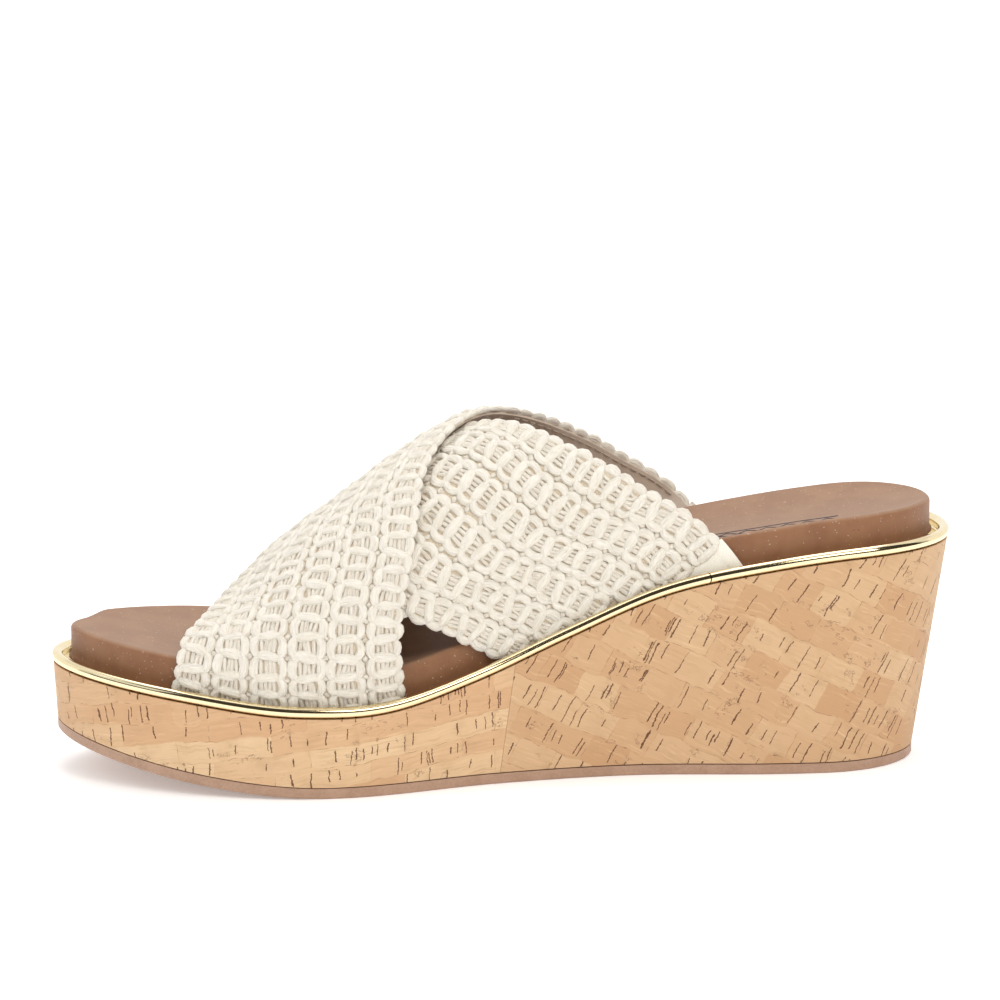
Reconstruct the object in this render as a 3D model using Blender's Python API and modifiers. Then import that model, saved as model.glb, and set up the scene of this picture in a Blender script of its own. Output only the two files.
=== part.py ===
"""Wedge sandal for the right foot: two crossed crochet straps on a cork-covered wedge.

Lengths are metres. The toe points along -X, the heel along +X, the inner side of the foot is -Y
and +Z is up. The outsole stands on z = 0. Heights of the layers under the foot are measured from
the welt line, the top edge of the cork, which rises from the ball of the foot to the heel.
"""

import math

import bmesh
import bpy
import numpy as np

# Overall sizes
LENGTH = 0.258  # toe to heel over the welt
BALL_WIDTH = 0.0922  # widest part, over the welt
HEEL_WIDTH = 0.0662
HEEL_HEIGHT = 0.0652  # ground to the welt line at the back
PLATFORM_HEIGHT = 0.0241  # ground to the welt line under the ball of the foot
TOE_HEIGHT = 0.0321  # ground to the welt line at the tip of the toe
TOE_SPRING = 0.0123  # lift of the outsole at the tip of the toe

# Outline of the bottom
TOE_ROUND = 0.0700
HEEL_ROUND = 0.0325
HEEL_POWER = 2.14
TOE_LEAN = 0.0009  # how far the wall leans in towards the ground
SIDE_LEAN = 0.0034
HEEL_LEAN = 0.0090

# Bottom
GAP = 0.0003  # clearance between pieces that touch
OUTSOLE_THICKNESS = 0.0030
TREAD_DEPTH = 0.0010
TREAD_WIDTH = 0.0022
TREAD_PITCH = 0.0090
CORK_THICKNESS = 0.0010
SEAM_X = 0.0005  # butt seam between the two cork covers

# Gold welt strip: a round bead with a flat flange that lies under the footbed
BEAD_WIDTH = 0.0023
BEAD_HEIGHT = 0.0026
WELT_SHEET = 0.0008
FLANGE_REACH = 0.0130
WELT_JOINT_X = 0.0580

# Strap layers
CROCHET_THICKNESS = 0.0022
LINING_THICKNESS = 0.0007
STRAP_EASE = 0.0004  # room beside the bead, for the ends of the straps
MARGIN_REACH = 0.0070  # how far a lining is turned in under the footbed
TAB_THICKNESS = 0.0008
STITCH_RADIUS = 0.00025
STITCH_SLACK = 0.00015  # how loosely the threads lie on the linings

# Footbed and what lies under it
FOOTBED_END_MARGIN = 0.0052  # welt edge to footbed at toe and heel
FOOTBED_EDGE = 0.0106  # height of the footbed's edge over the welt line
FOOTBED_ROUND = 0.0014
HEEL_CUP = 0.0034
BALL_DISH = 0.0022
ARCH_RISE = 0.0026
BOARD_THICKNESS = 0.0018
BOARD_INSET = 0.0075
SHANK_THICKNESS = 0.0010
SHANK_WIDTH = 0.0120
SHANK_FRONT_X = -0.0300
SHANK_BACK_X = 0.0800
RIVET_RADIUS = 0.0013
RIVET_HEAD_RADIUS = 0.0028
RIVET_HEAD_THICKNESS = 0.0005

# Instep form that the straps follow: height of its crown over the footbed's edge
INSTEP_STATIONS = (-0.80, -0.60, -0.40, -0.20, -0.05, 0.10, 0.30, 0.55)
INSTEP_HEIGHTS = (0.0015, 0.0091, 0.0302, 0.0464, 0.0511, 0.0465, 0.0478, 0.0430)
INSTEP_POWER = 2.04

# Strap edges: fraction of the way round the instep, from the inner side, against the place
# along the shoe as a fraction of half its length
OVER_FRONT_TURN = (0.0, 0.15, 0.30, 0.42, 0.50, 0.60, 0.70, 0.80, 0.88, 1.0)
OVER_FRONT_PLACE = (-0.737, -0.710, -0.658, -0.622, -0.590, -0.533, -0.425, -0.313, -0.180, -0.028)
OVER_BACK_TURN = (0.0, 0.12, 0.30, 0.42, 0.50, 0.60, 0.70, 0.80, 0.87, 1.0)
OVER_BACK_PLACE = (-0.236, -0.256, -0.199, -0.147, -0.066, 0.098, 0.214, 0.322, 0.406, 0.503)
UNDER_TURN = (0.0, 0.13, 0.20, 0.30, 0.40, 0.50, 0.58, 0.70, 0.87, 1.0)
UNDER_FRONT_PLACE = (-0.019, -0.197, -0.308, -0.403, -0.473, -0.527, -0.558, -0.588, -0.610, -0.618)
UNDER_BACK_PLACE = (0.501, 0.409, 0.323, 0.221, 0.118, 0.000, -0.083, -0.149, -0.175, -0.170)

HALF = LENGTH / 2
STRAP_BUILD = CROCHET_THICKNESS + LINING_THICKNESS + 2 * GAP  # form to outside of the crochet
OVERLAP_LIFT = STRAP_BUILD + GAP
FOOTBED_SIDE_MARGIN = BEAD_WIDTH + GAP + STRAP_EASE + STRAP_BUILD
MARGIN_HEIGHT = -0.00005  # middle of the turned-in lining
MARGIN_TOP = MARGIN_HEIGHT + LINING_THICKNESS / 2
FLANGE_TOP = MARGIN_HEIGHT - LINING_THICKNESS / 2 - GAP
CORE_TOP = FLANGE_TOP - WELT_SHEET - GAP
BED_BOTTOM = MARGIN_TOP + GAP
STATION_PLACES = HALF * np.array([-1.0, -0.659, -0.349, -0.039, 0.271, 0.581, 1.0])
TURNS = np.interp(np.linspace(0, 1, 43), [0, 0.27, 0.73, 1], [0, 0.18, 0.82, 1])
ACROSS = np.linspace(0, 1, 10)
TAB_TURNS = 6  # steps of TURNS that make room for an end tab
INNER_HALF = np.array([0.430, 0.473, 0.490, 0.378, 0, 0, 0]) * BALL_WIDTH
INNER_HALF += np.array([0, 0, 0, 0, 0.453, 0.503, 0.492]) * HEEL_WIDTH
OUTER_HALF = np.array([0.437, 0.490, 0.510, 0.456, 0, 0, 0]) * BALL_WIDTH
OUTER_HALF += np.array([0, 0, 0, 0, 0.542, 0.476, 0.508]) * HEEL_WIDTH


def through(knots, values, at):
    """A smooth curve through the knots, flat beyond its ends."""
    knots = np.asarray(knots, float)
    values = np.asarray(values, float)
    width = np.diff(knots)
    slope = np.diff(values) / width
    tangent = np.empty(len(knots))
    tangent[1:-1] = (slope[:-1] * width[1:] + slope[1:] * width[:-1]) / (width[1:] + width[:-1])
    tangent[0] = 1.5 * slope[0] - 0.5 * tangent[1]
    tangent[-1] = 1.5 * slope[-1] - 0.5 * tangent[-2]
    at = np.clip(at, knots[0], knots[-1])
    i = np.clip(np.searchsorted(knots, at, side="right") - 1, 0, len(width) - 1)
    t = (at - knots[i]) / width[i]
    rise = 3 * t**2 - 2 * t**3
    start = (t**3 - 2 * t**2 + t) * width[i] * tangent[i]
    end = (t**3 - t**2) * width[i] * tangent[i + 1]
    return values[i] + rise * (values[i + 1] - values[i]) + start + end


def welt_z(x):
    """Height of the welt line."""
    places = HALF * np.array([-1, -0.736, -0.465, -0.271, -0.078, 0.116, 0.349, 0.581, 0.775, 1])
    toe = PLATFORM_HEIGHT + (TOE_HEIGHT - PLATFORM_HEIGHT) * np.array([1, 0.475])
    share = np.array([0, 0.015, 0.179, 0.429, 0.725, 0.887, 0.966, 1])
    arch = PLATFORM_HEIGHT + (HEEL_HEIGHT - PLATFORM_HEIGHT) * share
    return through(places, np.concatenate([toe, arch]), x)


def sole_z(x):
    """Height of the underside of the outsole."""
    return TOE_SPRING * np.clip((-0.4 * HALF - x) / (0.6 * HALF), 0, None) ** 1.74


def rounding(x, low, high):
    """The share of the full width that is left near the rounded toe and heel."""
    toe = np.clip((x - low) / TOE_ROUND, 0, 1)
    heel = np.clip((high - x) / HEEL_ROUND, 0, 1)
    return np.sqrt(1 - (1 - toe) ** 2) * (1 - (1 - heel) ** HEEL_POWER) ** (1 / HEEL_POWER)


def spread(count):
    """Fractions from toe to heel, close together at both ends."""
    return (1 - np.cos(np.linspace(0, math.pi, count))) / 2


def outline(end, side, top, share):
    """The plan of the shoe at the welt or at the ground, drawn in by end and side.

    Returns the points of the inner and of the outer side at the fractions of its length in share.
    """
    t = spread(240)
    x = -HALF + LENGTH * t
    low, high, drawn = -HALF, HALF, 0
    if not top:
        x = x + TOE_LEAN * (1 - t) ** 4 - HEEL_LEAN * t**4
        low, high = low + TOE_LEAN, high - HEEL_LEAN
        drawn = np.interp(t, [0, 0.5, 1], [TOE_LEAN, SIDE_LEAN, 0.6 * HEEL_LEAN])
    width = rounding(x, low, high)
    inner = -(through(STATION_PLACES, INNER_HALF, x) - drawn) * width
    outer = (through(STATION_PLACES, OUTER_HALF, x) - drawn) * width
    loop = np.stack([np.append(x, x[-2:0:-1]), np.append(inner, outer[-2:0:-1])], 1)
    along = np.roll(loop, -1, 0) - np.roll(loop, 1, 0)
    inward = np.stack([-along[:, 1], along[:, 0]], 1) / np.linalg.norm(along, axis=1)[:, None]
    sideways = 1 - (1 - inward[:, 1:] ** 2) ** 4
    loop = loop + inward * (end + (side - end) * sideways)
    near = loop[: len(t)]
    far = np.append(loop[:1], loop[len(t) - 1 :][::-1], 0)
    x = near[0, 0] + (near[-1, 0] - near[0, 0]) * np.asarray(share)
    return x, np.interp(x, near[:, 0], near[:, 1]), np.interp(x, far[:, 0], far[:, 1])


def ring(end, side, top, height, share):
    """The closed outline as points, at a height that may depend on x."""
    x, inner, outer = outline(end, side, top, share)
    plan = np.stack([np.append(x, x[-2:0:-1]), np.append(inner, outer[-2:0:-1])], 1)
    return np.column_stack([plan, height(plan[:, 0])])


def lowered(upper, lower, drop):
    """Points on the straight lines from upper to lower, a given drop below upper."""
    share = drop / (upper[:, 2] - lower[:, 2])
    return upper + (lower - upper) * share[:, None]


def over_welt(height):
    return lambda x: welt_z(x) + height


def over_sole(height):
    return lambda x: sole_z(x) + height


def ladder(first, count):
    """Faces across a ring from its inner to its outer side, as in a ladder."""
    total = 2 * count - 2
    inner = [first + i for i in range(count)]
    outer = [first] + [first + total - i for i in range(1, count - 1)] + [first + count - 1]
    faces = [(inner[0], inner[1], outer[1])]
    for i in range(1, count - 2):
        faces.append((inner[i], inner[i + 1], outer[i + 1], outer[i]))
    faces.append((inner[-2], inner[-1], outer[-2]))
    return faces


def between(first, second, total, closed=True):
    """Quads between two rows of points."""
    last = total if closed else total - 1
    rows = []
    for i in range(last):
        j = (i + 1) % total
        rows.append((first + i, first + j, second + j, second + i))
    return rows


def add_body(name, points, faces, material):
    """One closed body, its faces turned outward."""
    mesh = bpy.data.meshes.new(name)
    mesh.from_pydata([tuple(map(float, point)) for point in points], [], faces)
    work = bmesh.new()
    work.from_mesh(mesh)
    bmesh.ops.remove_doubles(work, verts=work.verts, dist=1e-7)
    bmesh.ops.recalc_face_normals(work, faces=work.faces)
    if work.calc_volume(signed=True) < 0:
        bmesh.ops.reverse_faces(work, faces=work.faces)
    work.to_mesh(mesh)
    work.free()
    body = bpy.data.objects.new(name, mesh)
    if material is None:
        CUTTERS.objects.link(body)
        body.hide_render = True
        body.display_type = "WIRE"
    else:
        SANDAL.objects.link(body)
        mesh.materials.append(material)
    return body


def stacked(name, rings, material):
    """A body from closed rings, with ladders across the first and the last."""
    total = len(rings[0])
    count = (total + 2) // 2
    faces = ladder(0, count) + ladder((len(rings) - 1) * total, count)
    for i in range(len(rings) - 1):
        faces += between(i * total, (i + 1) * total, total)
    return add_body(name, np.concatenate(rings), faces, material)


def swept(name, sections, material):
    """A body from a row of closed sections, its two ends filled."""
    total = len(sections[0])
    faces = [tuple(range(total)), tuple(range((len(sections) - 1) * total, len(sections) * total))]
    for i in range(len(sections) - 1):
        faces += between(i * total, (i + 1) * total, total)
    return add_body(name, np.concatenate(sections), faces, material)


def sheet(name, rows, thickness, material, fixed=True):
    """A sheet of even thickness about a grid of points, one row for each share of its width.

    The faces of neighbouring layers are split along the same diagonal, so that they stay parallel.
    """
    points = np.array(rows)
    width, count = points.shape[:2]
    work = bmesh.new()
    bmesh.ops.create_grid(work, x_segments=count - 1, y_segments=width - 1, size=1)
    for corner in work.verts:
        i = round((corner.co.x + 1) / 2 * (count - 1))
        j = round((corner.co.y + 1) / 2 * (width - 1))
        corner.co = points[j, i]
    method = "ALTERNATE" if fixed else "FIXED"
    bmesh.ops.triangulate(work, faces=work.faces, quad_method=method)
    mesh = bpy.data.meshes.new(name)
    work.to_mesh(mesh)
    work.free()
    mesh.materials.append(material)
    mesh.shade_smooth()
    body = bpy.data.objects.new(name, mesh)
    SANDAL.objects.link(body)
    modifier = body.modifiers.new("thickness", "SOLIDIFY")
    modifier.thickness = thickness
    modifier.offset = 0
    modifier.use_even_offset = True
    return body


def finish(name, colour, roughness, metallic=0.0):
    material = bpy.data.materials.new(name)
    material.use_nodes = True
    shader = material.node_tree.nodes["Principled BSDF"]
    shader.inputs["Base Color"].default_value = (*colour, 1)
    shader.inputs["Roughness"].default_value = roughness
    shader.inputs["Metallic"].default_value = metallic
    return material


def cut(body, cutter):
    modifier = body.modifiers.new(cutter.name, "BOOLEAN")
    modifier.operation = "DIFFERENCE"
    modifier.solver = "EXACT"
    modifier.object = cutter


def make_outsole():
    share = spread(50)
    chamfer = 0.0005
    rings = [
        ring(chamfer, chamfer, False, over_sole(0), share),
        ring(0, 0, False, over_sole(chamfer), share),
        ring(0, 0, False, over_sole(OUTSOLE_THICKNESS), share),
    ]
    outsole = stacked("outsole", rings, finish("outsole_rubber", (0.52, 0.30, 0.20), 0.7))
    ball = (-0.62 * HALF, -0.02 * HALF)
    heel = (0.42 * HALF, 0.78 * HALF)
    points, faces = [], []
    for start, stop in (ball, heel):
        for x in np.arange(start, stop, TREAD_PITCH):
            points, faces = tread_groove(x, points, faces)
    cut(outsole, add_body("tread_grooves", points, faces, None))


def tread_groove(x, points, faces):
    """Adds one bowed groove across the sole to the lists."""
    steps = 7
    bow = 0.004
    height = sole_z(x) + TREAD_DEPTH
    across, inner, outer = outline(0.006, 0.006, False, spread(120))
    low = np.interp(x, across, inner)
    high = np.interp(x, across, outer)
    first = len(points)
    for i, y in enumerate(np.linspace(low, high, steps)):
        turn = 2 * i / (steps - 1) - 1
        middle = x + bow * turn**2
        for dx, z in ((-1, -0.004), (1, -0.004), (1, height), (-1, height)):
            points.append((middle + dx * TREAD_WIDTH / 2, y, z))
    section = list(range(4))
    faces.append(tuple(first + i for i in section))
    faces.append(tuple(first + (steps - 1) * 4 + i for i in section))
    for i in range(steps - 1):
        faces += between(first + 4 * i, first + 4 * i + 4, 4)
    return points, faces


def make_core():
    share = spread(50)
    inset = CORK_THICKNESS + GAP
    floor = OUTSOLE_THICKNESS + GAP
    lower = ring(inset, inset, False, over_sole(floor), share)
    upper = ring(inset, inset, True, over_welt(0), share)
    rings = [lower, lowered(upper, lower, -CORE_TOP)]
    stacked("wedge_core", rings, finish("core_foam", (0.80, 0.76, 0.66), 0.85))


def make_cork_cover(name, low, high):
    """A thin cover on the wall of the wedge between two places along the shoe."""
    floor = OUTSOLE_THICKNESS + GAP
    inset = CORK_THICKNESS / 2
    t = spread(52)
    low_share = (low + HALF) / LENGTH
    high_share = (high + HALF) / LENGTH
    inside = t[(t > low_share + 1e-6) & (t < high_share - 1e-6)]
    share = np.concatenate([[low_share], inside, [high_share]])
    sides = []
    for column in (1, 2):
        upper = outline(inset, inset, True, share)
        lower = outline(inset, inset, False, share)
        top = np.stack([upper[0], upper[column], welt_z(upper[0])], 1)
        bottom = np.stack([lower[0], lower[column], sole_z(lower[0]) + floor], 1)
        sides.append((lowered(top, bottom, GAP), bottom))
    rows = []
    for level in (0, 1):
        inner, outer = sides[0][level], sides[1][level]
        if low_share <= 0:
            rows.append(np.concatenate([inner[::-1], outer[1:]]))
        else:
            rows.append(np.concatenate([inner, outer[-2::-1]]))
    sheet(name, rows, CORK_THICKNESS, finish(name + "_cork", (0.76, 0.50, 0.27), 0.75))


def welt_section():
    """The strip's section as pairs of inset from the wall and height over the welt line."""
    foot = 0.0001
    middle = BEAD_WIDTH / 2
    points = []
    for angle in np.radians(np.linspace(-50, 180, 7)):
        reach = middle - (middle + GAP) * math.cos(angle)
        height = foot + BEAD_HEIGHT * 0.5 * (1 + math.sin(angle))
        points.append((reach, height))
    web = CORK_THICKNESS + 2 * GAP
    points += [
        (BEAD_WIDTH, FLANGE_TOP),
        (FLANGE_REACH, FLANGE_TOP),
        (FLANGE_REACH, FLANGE_TOP - WELT_SHEET),
        (web, FLANGE_TOP - WELT_SHEET),
        (web, foot),
    ]
    return points


def make_welt():
    t = spread(50)
    joint = (WELT_JOINT_X + HALF) / LENGTH
    slit = 0.5 * GAP / LENGTH
    share = np.sort(np.concatenate([t, [joint - slit, joint + slit]]))
    cut_at = int(np.searchsorted(share, joint))
    rows = []
    for inset, height in welt_section():
        x, inner, outer = outline(inset, inset, True, share)
        near = np.stack([x, inner, welt_z(x) + height], 1)
        far = np.stack([x, outer, welt_z(x) + height], 1)
        rows.append(np.concatenate([near[cut_at:], far[-2:0:-1], near[:cut_at]]))
    sections = list(np.stack(rows, 1))
    swept("welt_strip", sections, finish("welt_gold", (0.83, 0.69, 0.40), 0.15, 1.0))


def dish(x, across, end):
    """How deep the footbed lies under its edge. across is -1 to 1, end 0 at the tips to 1."""
    depth = through(HALF * np.array([-1, -0.4, 0.1, 0.6, 1]), [0.4, 1, 0.7, 1, 1], x)
    blend = np.clip(x / (0.4 * HALF) + 0.5, 0, 1)
    full = BALL_DISH + (HEEL_CUP - BALL_DISH) * blend
    bowl = (1 - np.abs(across) ** 3) * end**2
    arch = ARCH_RISE * np.exp(-(((x - 0.15 * HALF) / (0.25 * HALF)) ** 2))
    arch = arch * np.clip(-across, 0, 1) * (1 - np.abs(across) ** 3)
    return full * depth * bowl - arch


def make_footbed():
    share = spread(46)
    margins = (FOOTBED_END_MARGIN, FOOTBED_SIDE_MARGIN)
    recess = BOARD_INSET - GAP
    roof = BED_BOTTOM + BOARD_THICKNESS + GAP
    rings = []
    for inset, height in (
        (recess, roof),
        (recess, BED_BOTTOM),
        (0, BED_BOTTOM),
        (0, FOOTBED_EDGE - FOOTBED_ROUND),
        (0.3 * FOOTBED_ROUND, FOOTBED_EDGE - 0.3 * FOOTBED_ROUND),
        (FOOTBED_ROUND, FOOTBED_EDGE),
    ):
        rings.append(ring(margins[0] + inset, margins[1] + inset, True, over_welt(height), share))
    total = len(rings[0])
    count = len(share)
    faces = ladder(0, count)
    for i in range(len(rings) - 1):
        faces += between(i * total, (i + 1) * total, total)
    points = list(np.concatenate(rings))
    rim = (len(rings) - 1) * total
    across = np.linspace(-1, 1, 11)
    rows = []
    for i in range(1, count - 1):
        near = points[rim + i]
        far = points[rim + total - i]
        end = min(1.0, float(rounding(near[0], rings[-1][0, 0], rings[-1][count - 1, 0])))
        row = [rim + i]
        for turn in across[1:-1]:
            point = near + (far - near) * (turn + 1) / 2
            point[2] -= dish(near[0], turn, end)
            row.append(len(points))
            points.append(point)
        rows.append(row + [rim + total - i])
    for row, other in zip(rows, rows[1:]):
        for j in range(len(across) - 1):
            faces.append((row[j], row[j + 1], other[j + 1], other[j]))
    for row, tip in ((rows[0], rim), (rows[-1], rim + count - 1)):
        for j in range(len(across) - 1):
            faces.append((row[j], row[j + 1], tip))
    add_body("footbed", points, faces, finish("footbed_foam", (0.42, 0.26, 0.17), 0.8))


def make_board_and_filler():
    share = spread(50)
    end = FOOTBED_END_MARGIN + BOARD_INSET
    side = FOOTBED_SIDE_MARGIN + BOARD_INSET
    rings = [
        ring(end, side, True, over_welt(BED_BOTTOM), share),
        ring(end, side, True, over_welt(BED_BOTTOM + BOARD_THICKNESS), share),
    ]
    board = stacked("insole_board", rings, finish("board_fibre", (0.46, 0.36, 0.26), 0.9))
    inset = max(FLANGE_REACH, FOOTBED_SIDE_MARGIN + MARGIN_REACH) + GAP
    rings = [
        ring(inset, inset, True, over_welt(CORE_TOP + GAP), share),
        ring(inset, inset, True, over_welt(MARGIN_TOP), share),
    ]
    filler = stacked("bottom_filler", rings, finish("filler_felt", (0.55, 0.50, 0.44), 0.95))
    cut(filler, strip_plate("shank_slot", GAP, -0.004, 0.004, None))
    return board


def strip_plate(name, clearance, low, high, material):
    """A flat strip with rounded ends that follows the arch, between two heights."""
    t = spread(28)
    start = SHANK_FRONT_X - clearance
    x = start + (SHANK_BACK_X + clearance - start) * t
    half = SHANK_WIDTH / 2 + clearance
    edge = np.minimum(x - x[0], x[-1] - x)
    y = half * np.sqrt(1 - (1 - np.clip(edge / half, 0, 1)) ** 2)
    plan_x = np.append(x, x[-2:0:-1])
    plan_y = np.append(-y, y[-2:0:-1])
    rings = [np.column_stack([plan_x, plan_y, welt_z(plan_x) + height]) for height in (low, high)]
    return stacked(name, rings, material)


def make_shank(board):
    steel = finish("shank_steel", (0.55, 0.56, 0.58), 0.35, 1.0)
    rivet_steel = finish("rivet_steel", (0.62, 0.60, 0.55), 0.4, 1.0)
    top = MARGIN_TOP
    shank = strip_plate("shank", 0, top - SHANK_THICKNESS, top, steel)
    inset = 0.09 * (SHANK_BACK_X - SHANK_FRONT_X)
    for name, x in (("front", SHANK_FRONT_X + inset), ("back", SHANK_BACK_X - inset)):
        slope = float(welt_z(x + 0.001) - welt_z(x - 0.001)) / 0.002
        tilt = -math.atan(slope)
        place = (x, 0, float(welt_z(x)))
        bpy.ops.mesh.primitive_cylinder_add(
            vertices=24, radius=RIVET_RADIUS + GAP, depth=0.02, location=place, rotation=(0, tilt, 0)
        )
        drill = bpy.context.active_object
        drill.name = f"rivet_hole_{name}"
        adopt(drill)
        cut(shank, drill)
        cut(board, drill)
        rivet(f"shank_rivet_{name}", place, tilt, slope, rivet_steel)


def adopt(cutter):
    """Moves a new object into the cutters' collection."""
    for collection in list(cutter.users_collection):
        collection.objects.unlink(cutter)
    CUTTERS.objects.link(cutter)
    cutter.hide_render = True
    cutter.display_type = "WIRE"


def rivet(name, place, tilt, slope, material):
    """A headed rivet under the shank, its other end flush with the top of the board."""
    level = math.cos(math.atan(slope))
    top = (BED_BOTTOM + BOARD_THICKNESS) * level
    under = (MARGIN_TOP - SHANK_THICKNESS - GAP) * level
    profile = [
        (0, top),
        (RIVET_RADIUS, top),
        (RIVET_RADIUS, under),
        (RIVET_HEAD_RADIUS, under),
        (RIVET_HEAD_RADIUS, under - RIVET_HEAD_THICKNESS),
        (0, under - RIVET_HEAD_THICKNESS),
    ]
    mesh = bpy.data.meshes.new(name)
    mesh.from_pydata([(r, 0, z) for r, z in profile], [(i, i + 1) for i in range(5)], [])
    mesh.materials.append(material)
    body = bpy.data.objects.new(name, mesh)
    SANDAL.objects.link(body)
    body.location = place
    body.rotation_euler = (0, tilt, 0)
    turn = body.modifiers.new("turn", "SCREW")
    turn.steps = 24
    turn.render_steps = 24
    turn.use_merge_vertices = True
    turn.merge_threshold = 0.00001
    turn.use_smooth_shade = False


def instep_surface():
    """Points and outward directions of the instep form on a grid of place and turn."""
    places = np.linspace(-0.80 * HALF, 0.58 * HALF, 150)
    turns = np.linspace(0, 1, 181)
    x, inner, outer = outline(FOOTBED_END_MARGIN, FOOTBED_SIDE_MARGIN, True, spread(240))
    angle = np.linspace(0, math.pi, 500)
    power = 2 / INSTEP_POWER
    across = -np.sign(np.cos(angle)) * np.abs(np.cos(angle)) ** power
    up = np.abs(np.sin(angle)) ** power
    stations = HALF * np.array(INSTEP_STATIONS)
    grid = np.empty((len(places), len(turns), 3))
    for i, place in enumerate(places):
        low, high = np.interp(place, x, inner), np.interp(place, x, outer)
        foot = float(welt_z(place))
        rise = max(float(through(stations, INSTEP_HEIGHTS, place)), INSTEP_HEIGHTS[0])
        y = (low + high) / 2 + (high - low) / 2 * across
        z = foot + FOOTBED_EDGE + rise * up
        y = np.concatenate([[low], y, [high]])
        z = np.concatenate([[foot], z, [foot]])
        way = np.append(0, np.cumsum(np.hypot(np.diff(y), np.diff(z))))
        grid[i, :, 0] = place
        grid[i, :, 1] = np.interp(turns * way[-1], way, y)
        grid[i, :, 2] = np.interp(turns * way[-1], way, z)
    outward = np.cross(np.gradient(grid, axis=0), np.gradient(grid, axis=1))
    outward /= np.linalg.norm(outward, axis=2)[..., None]
    return grid, outward


def on_form(x, turn, offset):
    """The point of the form at a place and turn, moved outward by offset."""
    places = FORM[0][:, 0, 0]
    a = (np.asarray(x, float) - places[0]) / (places[1] - places[0])
    b = np.asarray(turn, float) * (FORM[0].shape[1] - 1)
    i = np.clip(a.astype(int), 0, FORM[0].shape[0] - 2)
    j = np.clip(b.astype(int), 0, FORM[0].shape[1] - 2)
    a = (a - i)[..., None]
    b = (b - j)[..., None]
    found = []
    for grid in FORM:
        low = (1 - b) * grid[i, j] + b * grid[i, j + 1]
        high = (1 - b) * grid[i + 1, j] + b * grid[i + 1, j + 1]
        found.append((1 - a) * low + a * high)
    outward = found[1] / np.linalg.norm(found[1], axis=-1)[..., None]
    return found[0] + outward * np.asarray(offset)[..., None], outward


def lift_over(x, turn):
    """How far the over strap rides above the form, to clear the strap beneath it."""
    point, _ = on_form(x, turn, np.zeros(np.shape(x)))
    t = np.clip((point[..., 2] - welt_z(point[..., 0]) - 0.002) / 0.014, 0, 1)
    return OVERLAP_LIFT * t * t * (3 - 2 * t)


class Strap:
    """A band over the instep: its two edges, and whether it rides over the other strap."""

    def __init__(self, name, front, back, over, tab_far):
        self.name = name
        self.front = front
        self.back = back
        self.over = over
        self.tab_far = tab_far

    def place(self, turn, across):
        """The place along the shoe at a turn, across being 0 at the front edge and 1 at the back."""
        front = HALF * through(*self.front, turn)
        back = HALF * through(*self.back, turn)
        return front + (back - front) * across

    def point(self, turn, across, offset):
        """The point at a turn and a share of the width, offset outward from the form."""
        x = self.place(turn, across)
        extra = lift_over(x, turn) if self.over else np.zeros(np.shape(x))
        return on_form(x, turn, extra + offset)

    def tab_turn(self, across):
        """How far up the tab reaches from the end of the strap, at a share of the width."""
        return 0.075 * np.clip((across - 0.70) / 0.30, 0, None)

    def make_crochet(self):
        middle = GAP + LINING_THICKNESS + GAP + CROCHET_THICKNESS / 2
        rows = []
        for across in ACROSS:
            reach = float(self.tab_turn(across))
            start = TURNS[TAB_TURNS]
            turn = np.where(TURNS < start, reach + (start - reach) * TURNS / start, TURNS)
            turn = 1 - turn[::-1] if self.tab_far else turn
            rows.append(self.point(turn, across, middle)[0])
        cotton = finish(self.name + "_cotton", (0.86, 0.80, 0.70), 0.95)
        sheet(self.name + "_crochet", rows, CROCHET_THICKNESS, cotton, self.over)

    def make_tab(self):
        middle = GAP + LINING_THICKNESS + GAP + TAB_THICKNESS / 2
        rows = []
        for across in np.linspace(0.74, 0.985, 6):
            reach = max(float(self.tab_turn(across)) - 0.006, 0.004)
            turn = np.linspace(0, reach, 5)
            turn = 1 - turn if self.tab_far else turn
            rows.append(self.point(turn, across, middle)[0])
        webbing = finish(self.name + "_webbing", (0.84, 0.81, 0.74), 0.6)
        sheet(self.name + "_end_tab", rows, TAB_THICKNESS, webbing, self.over)

    def make_lining(self):
        middle = GAP + LINING_THICKNESS / 2
        rows = []
        for across in ACROSS:
            line = self.point(TURNS[1:-1], across, middle)[0]
            ends = []
            for side in (0.0, 1.0):
                foot, outward = self.point(np.array([side]), across, middle)
                ends.append(margin(foot[0], outward[0]))
            rows.append(np.concatenate([ends[0], line, ends[1][::-1]]))
        taupe = finish(self.name + "_microfibre", (0.38, 0.30, 0.25), 0.85)
        sheet(self.name + "_lining", rows, LINING_THICKNESS, taupe, self.over)

    def make_stitches(self, edge, across, low, high):
        """One row of thread on the inside of the lining, along an edge."""
        turn = np.linspace(low, high, 32)
        line = self.point(turn, across, -STITCH_RADIUS - STITCH_SLACK)[0]
        name = f"{self.name}_{edge}_stitches"
        curve = bpy.data.curves.new(name, "CURVE")
        curve.dimensions = "3D"
        spline = curve.splines.new("POLY")
        spline.points.add(len(line) - 1)
        for target, point in zip(spline.points, line):
            target.co = (*point, 1)
        curve.bevel_depth = STITCH_RADIUS
        curve.bevel_resolution = 1
        curve.use_fill_caps = True
        curve.materials.append(finish(f"{self.name}_{edge}_thread", (0.62, 0.54, 0.46), 0.8))
        SANDAL.objects.link(bpy.data.objects.new(name, curve))


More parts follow.
